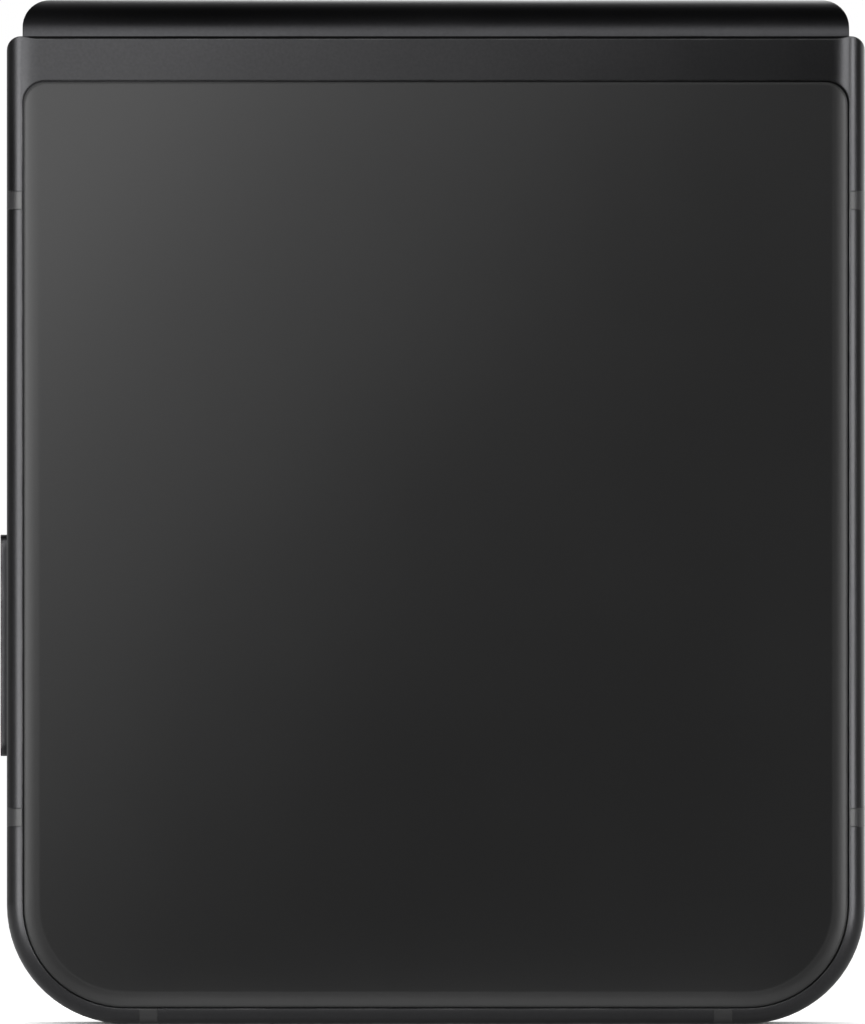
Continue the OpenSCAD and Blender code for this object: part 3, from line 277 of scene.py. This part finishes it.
blasted_grain = effect("Blasted Grain", {"Scale": 4000.0},
                       {"Height": "Float", "Tone": "Float", "Cloud": "Float"},
                       build_blasted_grain)
rubbed_edge = effect("Rubbed Edge", {"Width": 0.15 * MM, "Amount": 0.3},
                     {"Mask": "Float", "Edge": "Float", "Normal": "Vector"},
                     build_rubbed_edge)


def use_effect(tree, group, **values):
    new = tree.nodes.new("ShaderNodeGroup")
    new.node_tree = group
    for label, value in values.items():
        new.inputs[label].default_value = value
    return new.outputs


def mixed(tree, factor, a, b, blend="MIX"):
    return wire(tree, "ShaderNodeMix", {0: factor, 6: a, 7: b},
                data_type="RGBA", blend_type=blend).outputs[2]


def solid_finish(name, colour, roughness, metallic=0.0, grain=4000.0, bump=0.03,
                 cloud=0.04, edge=0.12 * MM, worn=0.25, worn_colour=(0.3, 0.3, 0.3),
                 ground=0.0, marks=None, **on_shader):
    """A solid finish: grain, uneven gloss, soft and rubbed edges, ground matter
    by ground. Marks are an effect, its values, its colour and its depth."""
    material = bpy.data.materials.new(name)
    material.use_nodes = True
    tree = material.node_tree
    tree.nodes.clear()
    specks = use_effect(tree, blasted_grain, Scale=grain)
    edges = use_effect(tree, rubbed_edge, Width=edge, Amount=worn)
    toned = mixed(tree, 1.0, (*colour, 1), specks["Tone"], "MULTIPLY")
    normal = edges["Normal"]
    if marks:
        kind, values, mark_colour, depth = marks
        pattern = use_effect(tree, kind, **values)
        toned = mixed(tree, pattern["Mask"], toned, (*mark_colour, 1))
        normal = wire(tree, "ShaderNodeBump",
                      {"Height": pattern["Height"], "Normal": normal,
                       "Strength": 1.0, "Distance": depth}).outputs[0]
    toned = mixed(tree, edges["Mask"], toned, (*worn_colour, 1))
    gloss = math_node(tree, "MULTIPLY_ADD", specks["Cloud"], cloud)
    gloss.node.inputs[2].default_value = roughness
    if ground:
        matter = math_node(tree, "MULTIPLY", edges["Edge"], ground)
        gloss = math_node(tree, "ADD", gloss, matter, clamp=True)
    relief = wire(tree, "ShaderNodeBump",
                  {"Height": specks["Height"], "Normal": normal,
                   "Strength": bump, "Distance": 0.05 * MM})
    shader = wire(tree, "ShaderNodeBsdfPrincipled",
                  {"Base Color": toned, "Roughness": gloss,
                   "Normal": relief.outputs[0], "Metallic": metallic, **on_shader})
    wire(tree, "ShaderNodeOutputMaterial", {"Surface": shader.outputs[0]})
    return material


def dress(material, *names):
    """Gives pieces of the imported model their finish."""
    for name in names:
        materials = node[name].data.materials
        materials.clear()
        materials.append(material)


anodised_black = solid_finish("anodised_black", (0.04, 0.04, 0.0415), 0.31,
                              metallic=1.0, edge=0.16 * MM,
                              worn_colour=(0.25, 0.25, 0.25))
dress(anodised_black, "lower_frame", "upper_frame")

# ------------------------------------------------------ antenna breaks in rails
# Short runs of glass-filled plastic moulded into cuts through the rails, so that
# the metal either side works as an aerial. They are machined flush with it.

break_plastic = solid_finish("break_plastic", (0.012, 0.012, 0.0125), 0.36,
                             grain=6000.0, bump=0.05, worn=0.1,
                             worn_colour=(0.06, 0.06, 0.06))
dress(break_plastic, "lower_antenna_bands", "upper_antenna_bands")

# ---------------------------------------------------------------- back glasses
# Toughened glass, back-printed near black and etched to a fine frost. Its edges
# curve down to the rim. A black foam glue line holds it in the frame.

frosted_glass = solid_finish("frosted_glass", (0.0055, 0.0055, 0.0056), 0.318,
                             grain=5000.0, bump=0.02, cloud=0.01, edge=0.32 * MM,
                             worn=0.0, ground=1.0)
dress(frosted_glass, "lower_back_glass", "upper_back_glass")
glue_foam = solid_finish("glue_foam", (0.02, 0.02, 0.02), 0.9, grain=9000.0,
                         bump=0.4, worn=0.0)
dress(glue_foam, "lower_glass_seal", "upper_glass_seal")

# ---------------------------------------------------------------- battery cells
# A pouch of laminated foil in each half, wrapped in a thin black film that
# wrinkles a little where it is pulled tight round the cell.

pouch_film = solid_finish("pouch_film", (0.03, 0.03, 0.033), 0.38, grain=260.0,
                          bump=0.5, cloud=0.08, edge=0.5 * MM, worn=0.15,
                          worn_colour=(0.2, 0.2, 0.2))
dress(pouch_film, "lower_battery", "upper_battery")

# ---------------------------------------------------------------- charging coil
# Flat spiral of fine enamelled copper strands, pressed onto a black sheet that
# shields the cell behind it.


def build_turned_rings(tree, given):
    place = wire(tree, "ShaderNodeTexCoord").outputs["Object"]
    axes = wire(tree, "ShaderNodeSeparateXYZ", {0: place}).outputs
    x = math_node(tree, "SUBTRACT", axes["X"], given["Centre X"])
    z = math_node(tree, "SUBTRACT", axes["Z"], given["Centre Z"])
    turns = math_node(tree, "ROUND", math_node(tree, "DIVIDE", z, given["Repeat Z"]))
    z = math_node(tree, "SUBTRACT", z,
                  math_node(tree, "MULTIPLY", turns, given["Repeat Z"]))
    far = math_node(tree, "SQRT",
                    math_node(tree, "ADD", math_node(tree, "MULTIPLY", x, x),
                              math_node(tree, "MULTIPLY", z, z)))
    phase = math_node(tree, "MULTIPLY", far, 2 * math.pi)
    wave = math_node(tree, "SINE", math_node(tree, "DIVIDE", phase, given["Pitch"]))
    height = wire(tree, "ShaderNodeMapRange",
                  {"Value": wave, "From Min": -1.0, "From Max": 1.0}).outputs[0]
    # The mask is strongest in the rings' grooves, where the height is lowest; a darker
    # mark colour there is painted shade in the grooves.
    low = math_node(tree, "SUBTRACT", 1.0, height)
    dark = math_node(tree, "MULTIPLY", math_node(tree, "POWER", low, 4.0),
                     given["Amount"], clamp=True)
    return {"Mask": dark, "Height": height}


turned_rings = effect("Turned Rings",
                      {"Centre X": 0.0, "Centre Z": 0.0, "Repeat Z": 1.0,
                       "Pitch": 0.1 * MM, "Amount": 0.5},
                      {"Mask": "Float", "Height": "Float"}, build_turned_rings)

# The coil's rings are darker in the grooves between the turns: painted shade.
wound_copper = solid_finish("wound_copper", (0.55, 0.22, 0.1), 0.32, metallic=1.0,
                            worn=0.0, marks=(turned_rings,
                                             {"Centre Z": 43.09 * MM,
                                              "Pitch": 0.155 * MM, "Amount": 0.8},
                                             (0.1, 0.03, 0.015), 0.04 * MM))
dress(wound_copper, "charging_coil")

# ------------------------------------------------------------- boards and sockets
# Two green-black circuit boards with etched tracks and gold pads. Drawn steel
# cans and the card socket are soldered on, with chips and small parts beside.

PIVOT_H, PIVOT_V = 81.275, 6.625      # fold axis in a half's own frame, mm
AXIS_Y, AXIS_Z = 1.925, 81.3061       # and in the closed phone, mm
LEAN = math.radians(0.4302237)


def in_half(side, x, along, depth):
    """A point of one half: along from its far edge, depth from its back, mm."""
    dy, dv = along - PIVOT_H, depth - PIVOT_V
    y = -AXIS_Y + dv * math.cos(LEAN) - dy * math.sin(LEAN)
    z = AXIS_Z + dy * math.cos(LEAN) + dv * math.sin(LEAN)
    return (x * MM, -side * y * MM, z * MM)


CREASE = math.radians(35)


def make_piece(name, points, faces, material):
    """A mesh whose faces all look outwards, smooth up to the crease angle."""
    mesh = bpy.data.meshes.new(name)
    mesh.from_pydata(points, [], faces)
    mesh.validate()
    shell = bmesh.new()
    shell.from_mesh(mesh)
    bmesh.ops.recalc_face_normals(shell, faces=shell.faces[:])
    shell.to_mesh(mesh)
    shell.free()
    mesh.shade_smooth()
    mesh.set_sharp_from_angle(angle=CREASE)
    mesh.materials.append(material)
    piece = bpy.data.objects.new(name, mesh)
    bpy.context.scene.collection.objects.link(piece)
    return piece


def chip_blocks(name, side, blocks, base, chamfer, material, body):
    """Small parts on one face: each is x, along, width, length, height, with the
    top edges chamfered."""
    points, faces = [], []
    for x, along, w, l, h in blocks:
        first = len(points)
        up = 1 if h > 0 else -1
        for inset, depth in ((0, base), (0, base + h - up * chamfer),
                             (chamfer, base + h)):
            for a, b in ((-1, -1), (1, -1), (1, 1), (-1, 1)):
                points.append(in_half(side, x + a * (w / 2 - inset),
                                      along + b * (l / 2 - inset), depth))
        rows = [(first, first + 4), (first + 4, first + 8)]
        new = [(first + 3, first + 2, first + 1, first),
               (first + 8, first + 9, first + 10, first + 11)]
        for low, high in rows:
            new += [(low + i, low + (i + 1) % 4, high + (i + 1) % 4, high + i)
                    for i in range(4)]
        turned = (side < 0) == (up > 0)
        faces += new if not turned else [f[::-1] for f in new]
    piece = make_piece(name, points, faces, material)
    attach(piece, body)
    return piece


def build_board_tracks(tree, given):
    place = wire(tree, "ShaderNodeTexCoord").outputs["Object"]
    cells = wire(tree, "ShaderNodeTexVoronoi", {"Vector": place, "Scale": 380.0},
                 distance="MANHATTAN")
    pick = wire(tree, "ShaderNodeSeparateColor", {0: cells.outputs["Color"]})
    axes = wire(tree, "ShaderNodeSeparateXYZ", {0: place}).outputs
    sideways = math_node(tree, "GREATER_THAN", pick.outputs[0], 0.5)
    run = wire(tree, "ShaderNodeMix", {0: sideways, 2: axes["X"], 3: axes["Z"]},
               data_type="FLOAT").outputs[0]
    share = math_node(tree, "FRACT", math_node(tree, "DIVIDE", run, given["Pitch"]))
    line = math_node(tree, "LESS_THAN", share, 0.45)
    busy = math_node(tree, "GREATER_THAN", pick.outputs[1], 0.35)
    tracks = math_node(tree, "MULTIPLY", line, busy)
    pads = wire(tree, "ShaderNodeTexVoronoi", {"Vector": place, "Scale": 900.0})
    pad = math_node(tree, "LESS_THAN", pads.outputs["Distance"], 0.22)
    return {"Mask": math_node(tree, "MULTIPLY", tracks, given["Amount"]),
            "Height": math_node(tree, "MAXIMUM", tracks, pad)}


board_tracks = effect("Board Tracks", {"Pitch": 0.3 * MM, "Amount": 0.6},
                      {"Mask": "Float", "Height": "Float"}, build_board_tracks)


def build_drawn_lines(tree, given):
    place = wire(tree, "ShaderNodeTexCoord").outputs["Object"]
    pull = wire(tree, "ShaderNodeCombineXYZ",
                {0: given["Along X"], 1: given["Along Y"], 2: given["Along Z"]})
    pulled = wire(tree, "ShaderNodeVectorMath", {0: place, 1: pull.outputs[0]},
                  operation="MULTIPLY")
    noise = wire(tree, "ShaderNodeTexNoise",
                 {"Vector": pulled.outputs[0], "Scale": 1.0, "Detail": 3.0})
    dark = wire(tree, "ShaderNodeMapRange",
                {"Value": noise.outputs["Fac"], "From Min": 0.5, "From Max": 0.75,
                 "To Max": given["Amount"]})
    return {"Mask": dark.outputs[0], "Height": noise.outputs["Fac"]}


drawn_lines = effect("Drawn Lines",
                     {"Along X": 200.0, "Along Y": 9000.0, "Along Z": 9000.0,
                      "Amount": 0.3},
                     {"Mask": "Float", "Height": "Float"}, build_drawn_lines)

board_green = solid_finish("board_green", (0.008, 0.045, 0.025), 0.36, worn=0.0,
                           marks=(board_tracks, {}, (0.03, 0.13, 0.06), 0.02 * MM))
dress(board_green, "main_board", "sub_board")
pressed_can = solid_finish("pressed_can", (0.5, 0.49, 0.46), 0.34, metallic=1.0,
                           edge=0.3 * MM, marks=(drawn_lines, {},
                                                 (0.36, 0.35, 0.33), 0.003 * MM))
dress(pressed_can, "shield_cans", "sim_socket")
moulded_black = solid_finish("moulded_black", (0.02, 0.02, 0.021), 0.55,
                             grain=3000.0, bump=0.08)
dress(moulded_black, "key_switches")
ceramic_tan = solid_finish("ceramic_tan", (0.28, 0.17, 0.09), 0.45, worn=0.5,
                           worn_colour=(0.6, 0.58, 0.55))

BOARD_FACE = 2.6
chips = chip_blocks("board_chips", 1,
                    [(12.6, 13.4, 4.6, 4.6, 0.8), (18.2, 13.2, 3.4, 5.0, 0.9),
                     (23.6, 12.0, 2.6, 2.6, 0.7), (23.4, 15.6, 2.0, 2.6, 0.7)],
                    BOARD_FACE, 0.08, moulded_black, "upper_half")
small_parts = chip_blocks(
    "board_small_parts", 1,
    [(26.6 + 1.0 * (i % 6), 11.0 + 0.75 * (i // 6), 0.6, 0.32, 0.3)
     for i in range(48) if (i * 7) % 5],
    BOARD_FACE, 0.05, ceramic_tan, "upper_half")

# ---------------------------------------------------------------- charging port
# A deep-drawn steel shell with a moulded tongue in it. Twelve gold-plated strip
# contacts are set in each face of the tongue.

drawn_steel = solid_finish("drawn_steel", (0.42, 0.42, 0.43), 0.28, metallic=1.0,
                           marks=(drawn_lines,
                                  {"Along X": 9000.0, "Along Z": 200.0},
                                  (0.3, 0.3, 0.31), 0.002 * MM))
dress(drawn_steel, "port_shell")
dress(moulded_black, "port_tongue")
plated_gold = solid_finish("plated_gold", (0.75, 0.5, 0.2), 0.25, metallic=1.0,
                           edge=0.02 * MM, worn=0.2, worn_colour=(0.8, 0.75, 0.65))
TONGUE_MID, TONGUE_HALF = 3.9, 0.35
PINS, PIN_PITCH, FIRST_PIN = 12, 0.5, -2.75
for face in (-1, 1):
    contacts = chip_blocks(
        "port_contacts_" + ("back" if face < 0 else "front"), -1,
        [(FIRST_PIN + PIN_PITCH * i, 3.3 if i in (0, PINS - 1) else 3.5, 0.26, 3.6,
          face * 0.03) for i in range(PINS)],
        TONGUE_MID + face * TONGUE_HALF, 0.01, plated_gold, "lower_half")

# ------------------------------------------------- loudspeaker, earpiece, buzzer
# Moulded loudspeaker and earpiece boxes, and a vibration motor in a steel case.
# An etched steel mesh keeps dust out of the speaker's five slots.

dress(moulded_black, "loudspeaker", "earpiece")
dress(pressed_can, "haptic_motor")
MESH_PITCH, MESH_HOLE = 0.35, 0.11
MESH_X, MESH_DEPTH, MESH_ALONG, MESH_THICK = (7.45, 21.35), (3.03, 4.78), 2.37, 0.12


def perforated_sheet(name, material):
    """A thin sheet with a round hole in the middle of each square cell."""
    across = round((MESH_X[1] - MESH_X[0]) / MESH_PITCH)
    deep = round((MESH_DEPTH[1] - MESH_DEPTH[0]) / MESH_PITCH)
    step = (MESH_X[1] - MESH_X[0]) / across, (MESH_DEPTH[1] - MESH_DEPTH[0]) / deep
    octants = [(math.cos(math.pi / 4 * i), math.sin(math.pi / 4 * i))
               for i in range(8)]
    points, faces = [], []
    for col in range(across):
        for row in range(deep):
            x = MESH_X[0] + (col + 0.5) * step[0]
            v = MESH_DEPTH[0] + (row + 0.5) * step[1]
            first = len(points)
            for along in (MESH_ALONG, MESH_ALONG + MESH_THICK):
                for c, s in octants:
                    reach = 0.5 / max(abs(c), abs(s))
                    points.append(in_half(-1, x + reach * step[0] * c, along,
                                          v + reach * step[1] * s))
                for c, s in octants:
                    points.append(in_half(-1, x + MESH_HOLE * c, along,
                                          v + MESH_HOLE * s))
            for i in range(8):
                j = (i + 1) % 8
                faces += [(first + i, first + 8 + i, first + 8 + j, first + j),
                          (first + 16 + i, first + 16 + j, first + 24 + j,
                           first + 24 + i),
                          (first + 8 + i, first + 24 + i, first + 24 + j,
                           first + 8 + j)]
    return make_piece(name, points, faces, material)


dark_mesh = solid_finish("dark_mesh", (0.12, 0.12, 0.125), 0.4, metallic=1.0,
                         edge=0.02 * MM)
mesh_sheet = perforated_sheet("speaker_mesh_sheet", dark_mesh)
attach(mesh_sheet, "lower_half")
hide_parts("speaker_mesh")

# -------------------------------------------------------------- folding screen
# One flexible panel bonded to a steel plate in each half. Its face is a clear
# plastic film over black, smooth, with the slight waviness of a film.

screen_black = solid_finish("screen_black", (0.0035, 0.0035, 0.0045), 0.09,
                            grain=90.0, bump=0.012, cloud=0.015, edge=0.01 * MM,
                            worn=0.0)
dress(screen_black, "lower_screen", "upper_screen")
rolled_steel = solid_finish("rolled_steel", (0.4, 0.4, 0.41), 0.35, metallic=1.0,
                            marks=(drawn_lines, {"Along Z": 9000.0},
                                   (0.3, 0.3, 0.31), 0.002 * MM))
dress(rolled_steel, "lower_screen_plate", "upper_screen_plate")

PANEL_TOP = -0.275 * MM      # picture side, from the fold axis, when open
PANEL_THICK = 0.4 * MM
PANEL_HALF = 33.95 * MM
FOLD_LEN = 8.02 * MM
FOLD_END = (1.65 * MM, -3.775 * MM)   # where the blend into a half is complete
OPENING = math.radians(90.4302)


def folded(along, depth, start, end):
    """Rest place of a point whose flat place is along, depth: it turns as far
    as the blend between start and end says."""
    low, high = 0.0, 1.0
    way = (end[0] - start[0], end[1] - start[1])
    for _ in range(40):
        share = (low + high) / 2
        a = share * OPENING
        y0, z0 = along - AXIS_Y * MM, depth
        y = AXIS_Y * MM + y0 * math.cos(a) + z0 * math.sin(a)
        z = z0 * math.cos(a) - y0 * math.sin(a)
        t = ((y - start[0]) * way[0] + (z - start[1]) * way[1]) / (
            way[0] ** 2 + way[1] ** 2)
        t = min(1.0, max(0.0, t))
        if t * t * (3 - 2 * t) > share:
            low = share
        else:
            high = share
    return y, z


def hang_strip(name, side, x0, x1, length, top, thick, start, end, steps, material):
    """A strip across the hinge's middle, from the seam into one half."""
    points, faces = [], []
    for i in range(steps + 1):
        for depth in (top, top + thick):
            y, z = folded(length * i / steps, depth, start, end)
            points += [(x, side * y, AXIS_Z * MM + z) for x in (x0, x1)]
    for i in range(steps):
        p, q = 4 * i, 4 * i + 4
        quads = [(p, p + 1, q + 1, q), (p + 2, q + 2, q + 3, p + 3),
                 (p, q, q + 2, p + 2), (p + 1, p + 3, q + 3, q + 1)]
        faces += quads if side < 0 else [f[::-1] for f in quads]
    last = 4 * steps
    cap = (last, last + 1, last + 3, last + 2)
    faces.append(cap if side < 0 else cap[::-1])
    strip = make_piece(name, points, faces, material)
    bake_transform(strip)
    return strip


for side, half in ((-1, "port"), (1, "camera")):
    bend = hang_strip("screen_bend_" + half, side, -PANEL_HALF, PANEL_HALF, FOLD_LEN,
                      PANEL_TOP, PANEL_THICK, (0, PANEL_TOP), FOLD_END, 40,
                      screen_black)
    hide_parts("screen_fold")

# ------------------------------------------------------ screen border and bumpers
# A raised border of soft-touch moulding covers the edge of the panel. Small
# rubber pads in it keep the two halves from knocking together.

border_plastic = solid_finish("border_plastic", (0.016, 0.016, 0.0165), 0.5,
                              grain=3500.0, bump=0.06, edge=0.2 * MM, worn=0.12,
                              worn_colour=(0.06, 0.06, 0.06))
dress(border_plastic, "lower_bezel", "upper_bezel")
rubber = solid_finish("rubber", (0.022, 0.022, 0.022), 0.78, grain=2500.0, bump=0.2,
                      cloud=0.08, worn=0.0)
dress(rubber, "lower_bumpers", "upper_bumpers")

# --------------------------------------------------------------- closing magnets
# Two sintered bars in each half, nickel-plated, pull the phone shut.

nickel = solid_finish("nickel", (0.6, 0.57, 0.52), 0.2, metallic=1.0, cloud=0.06,
                      edge=0.25 * MM)
dress(nickel, "lower_magnets", "upper_magnets")

# ------------------------------------------------------------------ hinge metal
# Rotors, blocks, arms and cams are machined or sintered steel, the gears on their
# shafts are hobbed and hardened darker, and blackened screws hold the assembly.

machined_steel = solid_finish("machined_steel", (0.4, 0.395, 0.385), 0.3,
                              metallic=1.0, marks=(drawn_lines,
                                                   {"Along X": 9000.0,
                                                    "Along Z": 400.0},
                                                   (0.28, 0.275, 0.27), 0.003 * MM))
dress(machined_steel, "lower_rotors", "upper_rotors", "hinge_blocks", "lower_arms",
      "upper_arms")
hardened_steel = solid_finish("hardened_steel", (0.22, 0.215, 0.21), 0.28,
                              metallic=1.0, grain=2500.0, edge=0.08 * MM, worn=0.5,
                              worn_colour=(0.5, 0.5, 0.5))
dress(hardened_steel, "lower_sync_shafts", "upper_sync_shafts", "lower_idlers",
      "upper_idlers", "cam_followers")
black_screw = solid_finish("black_screw", (0.06, 0.06, 0.062), 0.35, metallic=1.0,
                           edge=0.06 * MM, worn=0.4)
dress(black_screw, "lower_screws", "upper_screws", "block_screws")

# ----------------------------------------------------------------- shaft springs
# Coil springs of drawn wire on the arm shafts press the cam followers together,
# which gives the hinge its hold at any angle.

SHAFT_Y, SHAFT_Z = 3.9 * MM, (AXIS_Z + 2.15) * MM
SPRING_X = (24.35 * MM, 28.25 * MM)
SPRING_R, WIRE_R = 0.85 * MM, 0.13 * MM
SPRING_TURNS, STEPS_A_TURN = 5, 32


def wind(name, runs, thick, material, body):
    """Round wire along one or more runs of points."""
    curve = bpy.data.curves.new(name, "CURVE")
    curve.dimensions = "3D"
    curve.bevel_depth, curve.bevel_resolution = thick, 3
    curve.use_fill_caps = True
    for run in runs:
        spline = curve.splines.new("POLY")
        spline.points.add(len(run) - 1)
        for point, place in zip(spline.points, run):
            point.co = (*place, 1)
        spline.use_smooth = True
    curve.materials.append(material)
    piece = bpy.data.objects.new(name, curve)
    bpy.context.scene.collection.objects.link(piece)
    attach(piece, body)
    return piece


def spring_run(side_x, side_y):
    run = []
    steps = SPRING_TURNS * STEPS_A_TURN
    for i in range(steps + 1):
        turn = 2 * math.pi * i / STEPS_A_TURN
        x = SPRING_X[0] + (SPRING_X[1] - SPRING_X[0]) * i / steps
        run.append((side_x * x, side_y * SHAFT_Y + SPRING_R * math.cos(turn),
                    SHAFT_Z + SPRING_R * math.sin(turn)))
    return run


spring_wire = solid_finish("spring_wire", (0.48, 0.47, 0.45), 0.24, metallic=1.0,
                           edge=0.01 * MM, worn=0.0)
springs = wind("shaft_springs",
               [spring_run(a, b) for a in (-1, 1) for b in (-1, 1)],
               WIRE_R, spring_wire, "hinge")
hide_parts("hinge_springs")

# ------------------------------------------------------------------ flex cables
# Two amber film ribbons with copper tracks carry the signals from half to half.
# Each loops loosely over the screen's bend and tucks into both halves.


def build_ribbon_tracks(tree, given):
    place = wire(tree, "ShaderNodeTexCoord").outputs["Object"]
    x = wire(tree, "ShaderNodeSeparateXYZ", {0: place}).outputs["X"]
    share = math_node(tree, "FRACT", math_node(tree, "DIVIDE", x, given["Pitch"]))
    line = math_node(tree, "LESS_THAN", share, 0.5)
    return {"Mask": math_node(tree, "MULTIPLY", line, given["Amount"]),
            "Height": line}


ribbon_tracks = effect("Ribbon Tracks", {"Pitch": 0.25 * MM, "Amount": 0.7},
                       {"Mask": "Float", "Height": "Float"}, build_ribbon_tracks)
amber_film = solid_finish("amber_film", (0.2, 0.075, 0.015), 0.3, edge=0.02 * MM,
                          worn=0.0, marks=(ribbon_tracks, {}, (0.5, 0.2, 0.06),
                                           0.01 * MM))
FLEX_TOP = 2.2 * MM
FLEX_THICK = 0.15 * MM
FLEX_LEN = 12.4 * MM
FLEX_X, FLEX_HALF = 5 * MM, 3 * MM
FLEX_END = (2.9 * MM, -2.5 * MM)
for side, half in ((-1, "port"), (1, "camera")):
    for x, hand in ((-FLEX_X, "left"), (FLEX_X, "right")):
        ribbon = hang_strip("flex_" + hand + "_" + half, side, x - FLEX_HALF,
                            x + FLEX_HALF, FLEX_LEN, FLEX_TOP, FLEX_THICK,
                            (0, FLEX_TOP), FLEX_END, 48, amber_film)
        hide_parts("hinge_flex_cables")

# ------------------------------------------------------------- spine and its ends
# Extruded aluminium cover over the hinge, anodised as the frames are. Plastic
# caps close its ends beside the bend of the screen.

spine_black = solid_finish("spine_black", (0.038, 0.038, 0.04), 0.3, metallic=1.0,
                           edge=0.2 * MM)
dress(spine_black, "hinge_spine")
dress(moulded_black, "hinge_end_caps")

# ---------------------------------------------- cover screen, window and cameras
# A polished black window lies over the cover screen. Anodised rings stand through
# it round the two cameras, each with a clear glass over its stepped black barrel.

polished_black = solid_finish("polished_black", (0.004, 0.004, 0.005), 0.05,
                              grain=120.0, bump=0.004, cloud=0.01, edge=0.2 * MM,
                              worn=0.0)
dress(polished_black, "cover_window")
dress(screen_black, "cover_screen")
CAMERAS = ((-26.1, 9.5), (-26.1, 22.1))      # x and along, mm
CAMERA_RINGS = {"Centre X": -26.1 * MM, "Centre Z": 9.48 * MM, "Repeat Z": 12.6 * MM}
# Its turning marks are darker in their grooves: painted shade.
turned_black = solid_finish("turned_black", (0.05, 0.05, 0.053), 0.22, metallic=1.0,
                            edge=0.15 * MM,
                            marks=(turned_rings,
                                   {**CAMERA_RINGS, "Pitch": 0.05 * MM,
                                    "Amount": 0.3}, (0.03, 0.03, 0.03), 0.002 * MM))
dress(turned_black, "camera_rings")
dress(moulded_black, "camera_modules")


ROUND_STEPS = 72


def lathe(name, profile, material):
    """The same turned part on both cameras, from radius and depth in mm. A
    profile that starts and ends on the axis closes there."""
    points, faces = [], []
    for x, along in CAMERAS:
        rows = []
        for radius, depth in profile:
            if radius == 0:
                points.append(in_half(1, x, along, depth))
                rows.append([len(points) - 1] * ROUND_STEPS)
                continue
            rows.append(range(len(points), len(points) + ROUND_STEPS))
            for i in range(ROUND_STEPS):
                a = 2 * math.pi * i / ROUND_STEPS
                points.append(in_half(1, x + radius * math.cos(a),
                                      along + radius * math.sin(a), depth))
        for low, high in zip(rows, rows[1:]):
            for i in range(ROUND_STEPS):
                j = (i + 1) % ROUND_STEPS
                ring = (low[i], low[j], high[j], high[i])
                faces.append(tuple(dict.fromkeys(ring)))
    piece = make_piece(name, points, faces, material)
    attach(piece, "upper_half")
    return piece


LENS_FACE = -0.70        # outer face of the cover glass, from the back
# The barrel's ribs are darker in their grooves: painted shade.
barrel_black = solid_finish("barrel_black", (0.004, 0.004, 0.004), 0.4, worn=0.0,
                            edge=0.02 * MM,
                            marks=(turned_rings,
                                   {**CAMERA_RINGS, "Pitch": 0.11 * MM,
                                    "Amount": 0.5}, (0.001, 0.001, 0.001),
                                   0.01 * MM), **{"Specular IOR Level": 0.12})
coated_glass = solid_finish("coated_glass", (0.006, 0.004, 0.02), 0.04, bump=0.0,
                            cloud=0.005, edge=0.01 * MM, worn=0.0,
                            **{"Coat Weight": 1.0, "Coat Roughness": 0.03,
                               "Specular Tint": (0.55, 0.4, 1.0, 1.0),
                               "Thin Film Thickness": 330.0, "Thin Film IOR": 1.55})
clear_glass = solid_finish("clear_glass", (0.97, 0.98, 0.98), 0.02, bump=0.0,
                           cloud=0.005, edge=0.01 * MM, worn=0.0,
                           **{"Transmission Weight": 1.0, "IOR": 1.25})
barrels = lathe("lens_barrels",
                [(0, LENS_FACE + 0.49), (4.03, LENS_FACE + 0.49),
                 (4.03, LENS_FACE + 0.12), (3.0, LENS_FACE + 0.12),
                 (2.9, LENS_FACE + 0.24), (2.3, LENS_FACE + 0.25),
                 (2.2, LENS_FACE + 0.36), (1.75, LENS_FACE + 0.37),
                 (1.7, LENS_FACE + 0.45), (0, LENS_FACE + 0.45)], barrel_black)
DOME_R, DOME_STEPS = 1.66, 10
domes = lathe("lens_domes",
              [(0, LENS_FACE + 0.448), (DOME_R, LENS_FACE + 0.448)] +
              [(DOME_R * math.cos(math.pi / 2 * i / DOME_STEPS),
                LENS_FACE + 0.44 - 0.22 * math.sin(math.pi / 2 * i / DOME_STEPS))
               for i in range(DOME_STEPS)] + [(0, LENS_FACE + 0.22)], coated_glass)
covers = lathe("lens_covers",
               [(0, LENS_FACE + 0.11), (4.03, LENS_FACE + 0.11),
                (4.03, LENS_FACE + 0.03), (4.0, LENS_FACE), (0, LENS_FACE)],
               clear_glass)
for piece in (barrels, domes, covers):
    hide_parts("camera_lenses")

# ------------------------------------------------------------------------ flash
# A moulded clear lens, ringed like a small lighthouse lens, over two yellow
# light sources.

# The lens's rings are darker in their grooves: painted shade.
ringed_lens = solid_finish("ringed_lens", (0.75, 0.68, 0.42), 0.16, worn=0.0,
                           marks=(turned_rings,
                                  {"Centre X": -16.9 * MM, "Centre Z": 15.79 * MM,
                                   "Pitch": 0.3 * MM, "Amount": 0.7},
                                  (0.45, 0.33, 0.1), 0.05 * MM),
                           **{"Coat Weight": 0.6, "Coat Roughness": 0.05})
dress(ringed_lens, "flash_lens")

# ----------------------------------------------------------------- inner camera
# A small moulded camera looks out through a hole in the folding screen. Its
# window is coated, with a black ring round it.

selfie_finish = solid_finish("selfie_finish", (0.006, 0.005, 0.012), 0.12,
                             worn=0.0, marks=(turned_rings,
                                              {"Centre Z": 6.42 * MM,
                                               "Pitch": 0.9 * MM, "Amount": 0.7},
                                              (0.012, 0.014, 0.05), 0.02 * MM),
                             **{"Coat Weight": 0.8, "Coat Roughness": 0.04})
dress(selfie_finish, "selfie_camera")

# --------------------------------------------------------------- keys and tray
# Power and volume keys and the head of the card tray are milled from aluminium
# and anodised with the frame. Their edges are the most handled.

key_black = solid_finish("key_black", (0.05, 0.05, 0.052), 0.34, metallic=1.0,
                         edge=0.5 * MM, worn=0.35, worn_colour=(0.25, 0.25, 0.25))
dress(key_black, "power_key", "volume_key", "sim_tray")
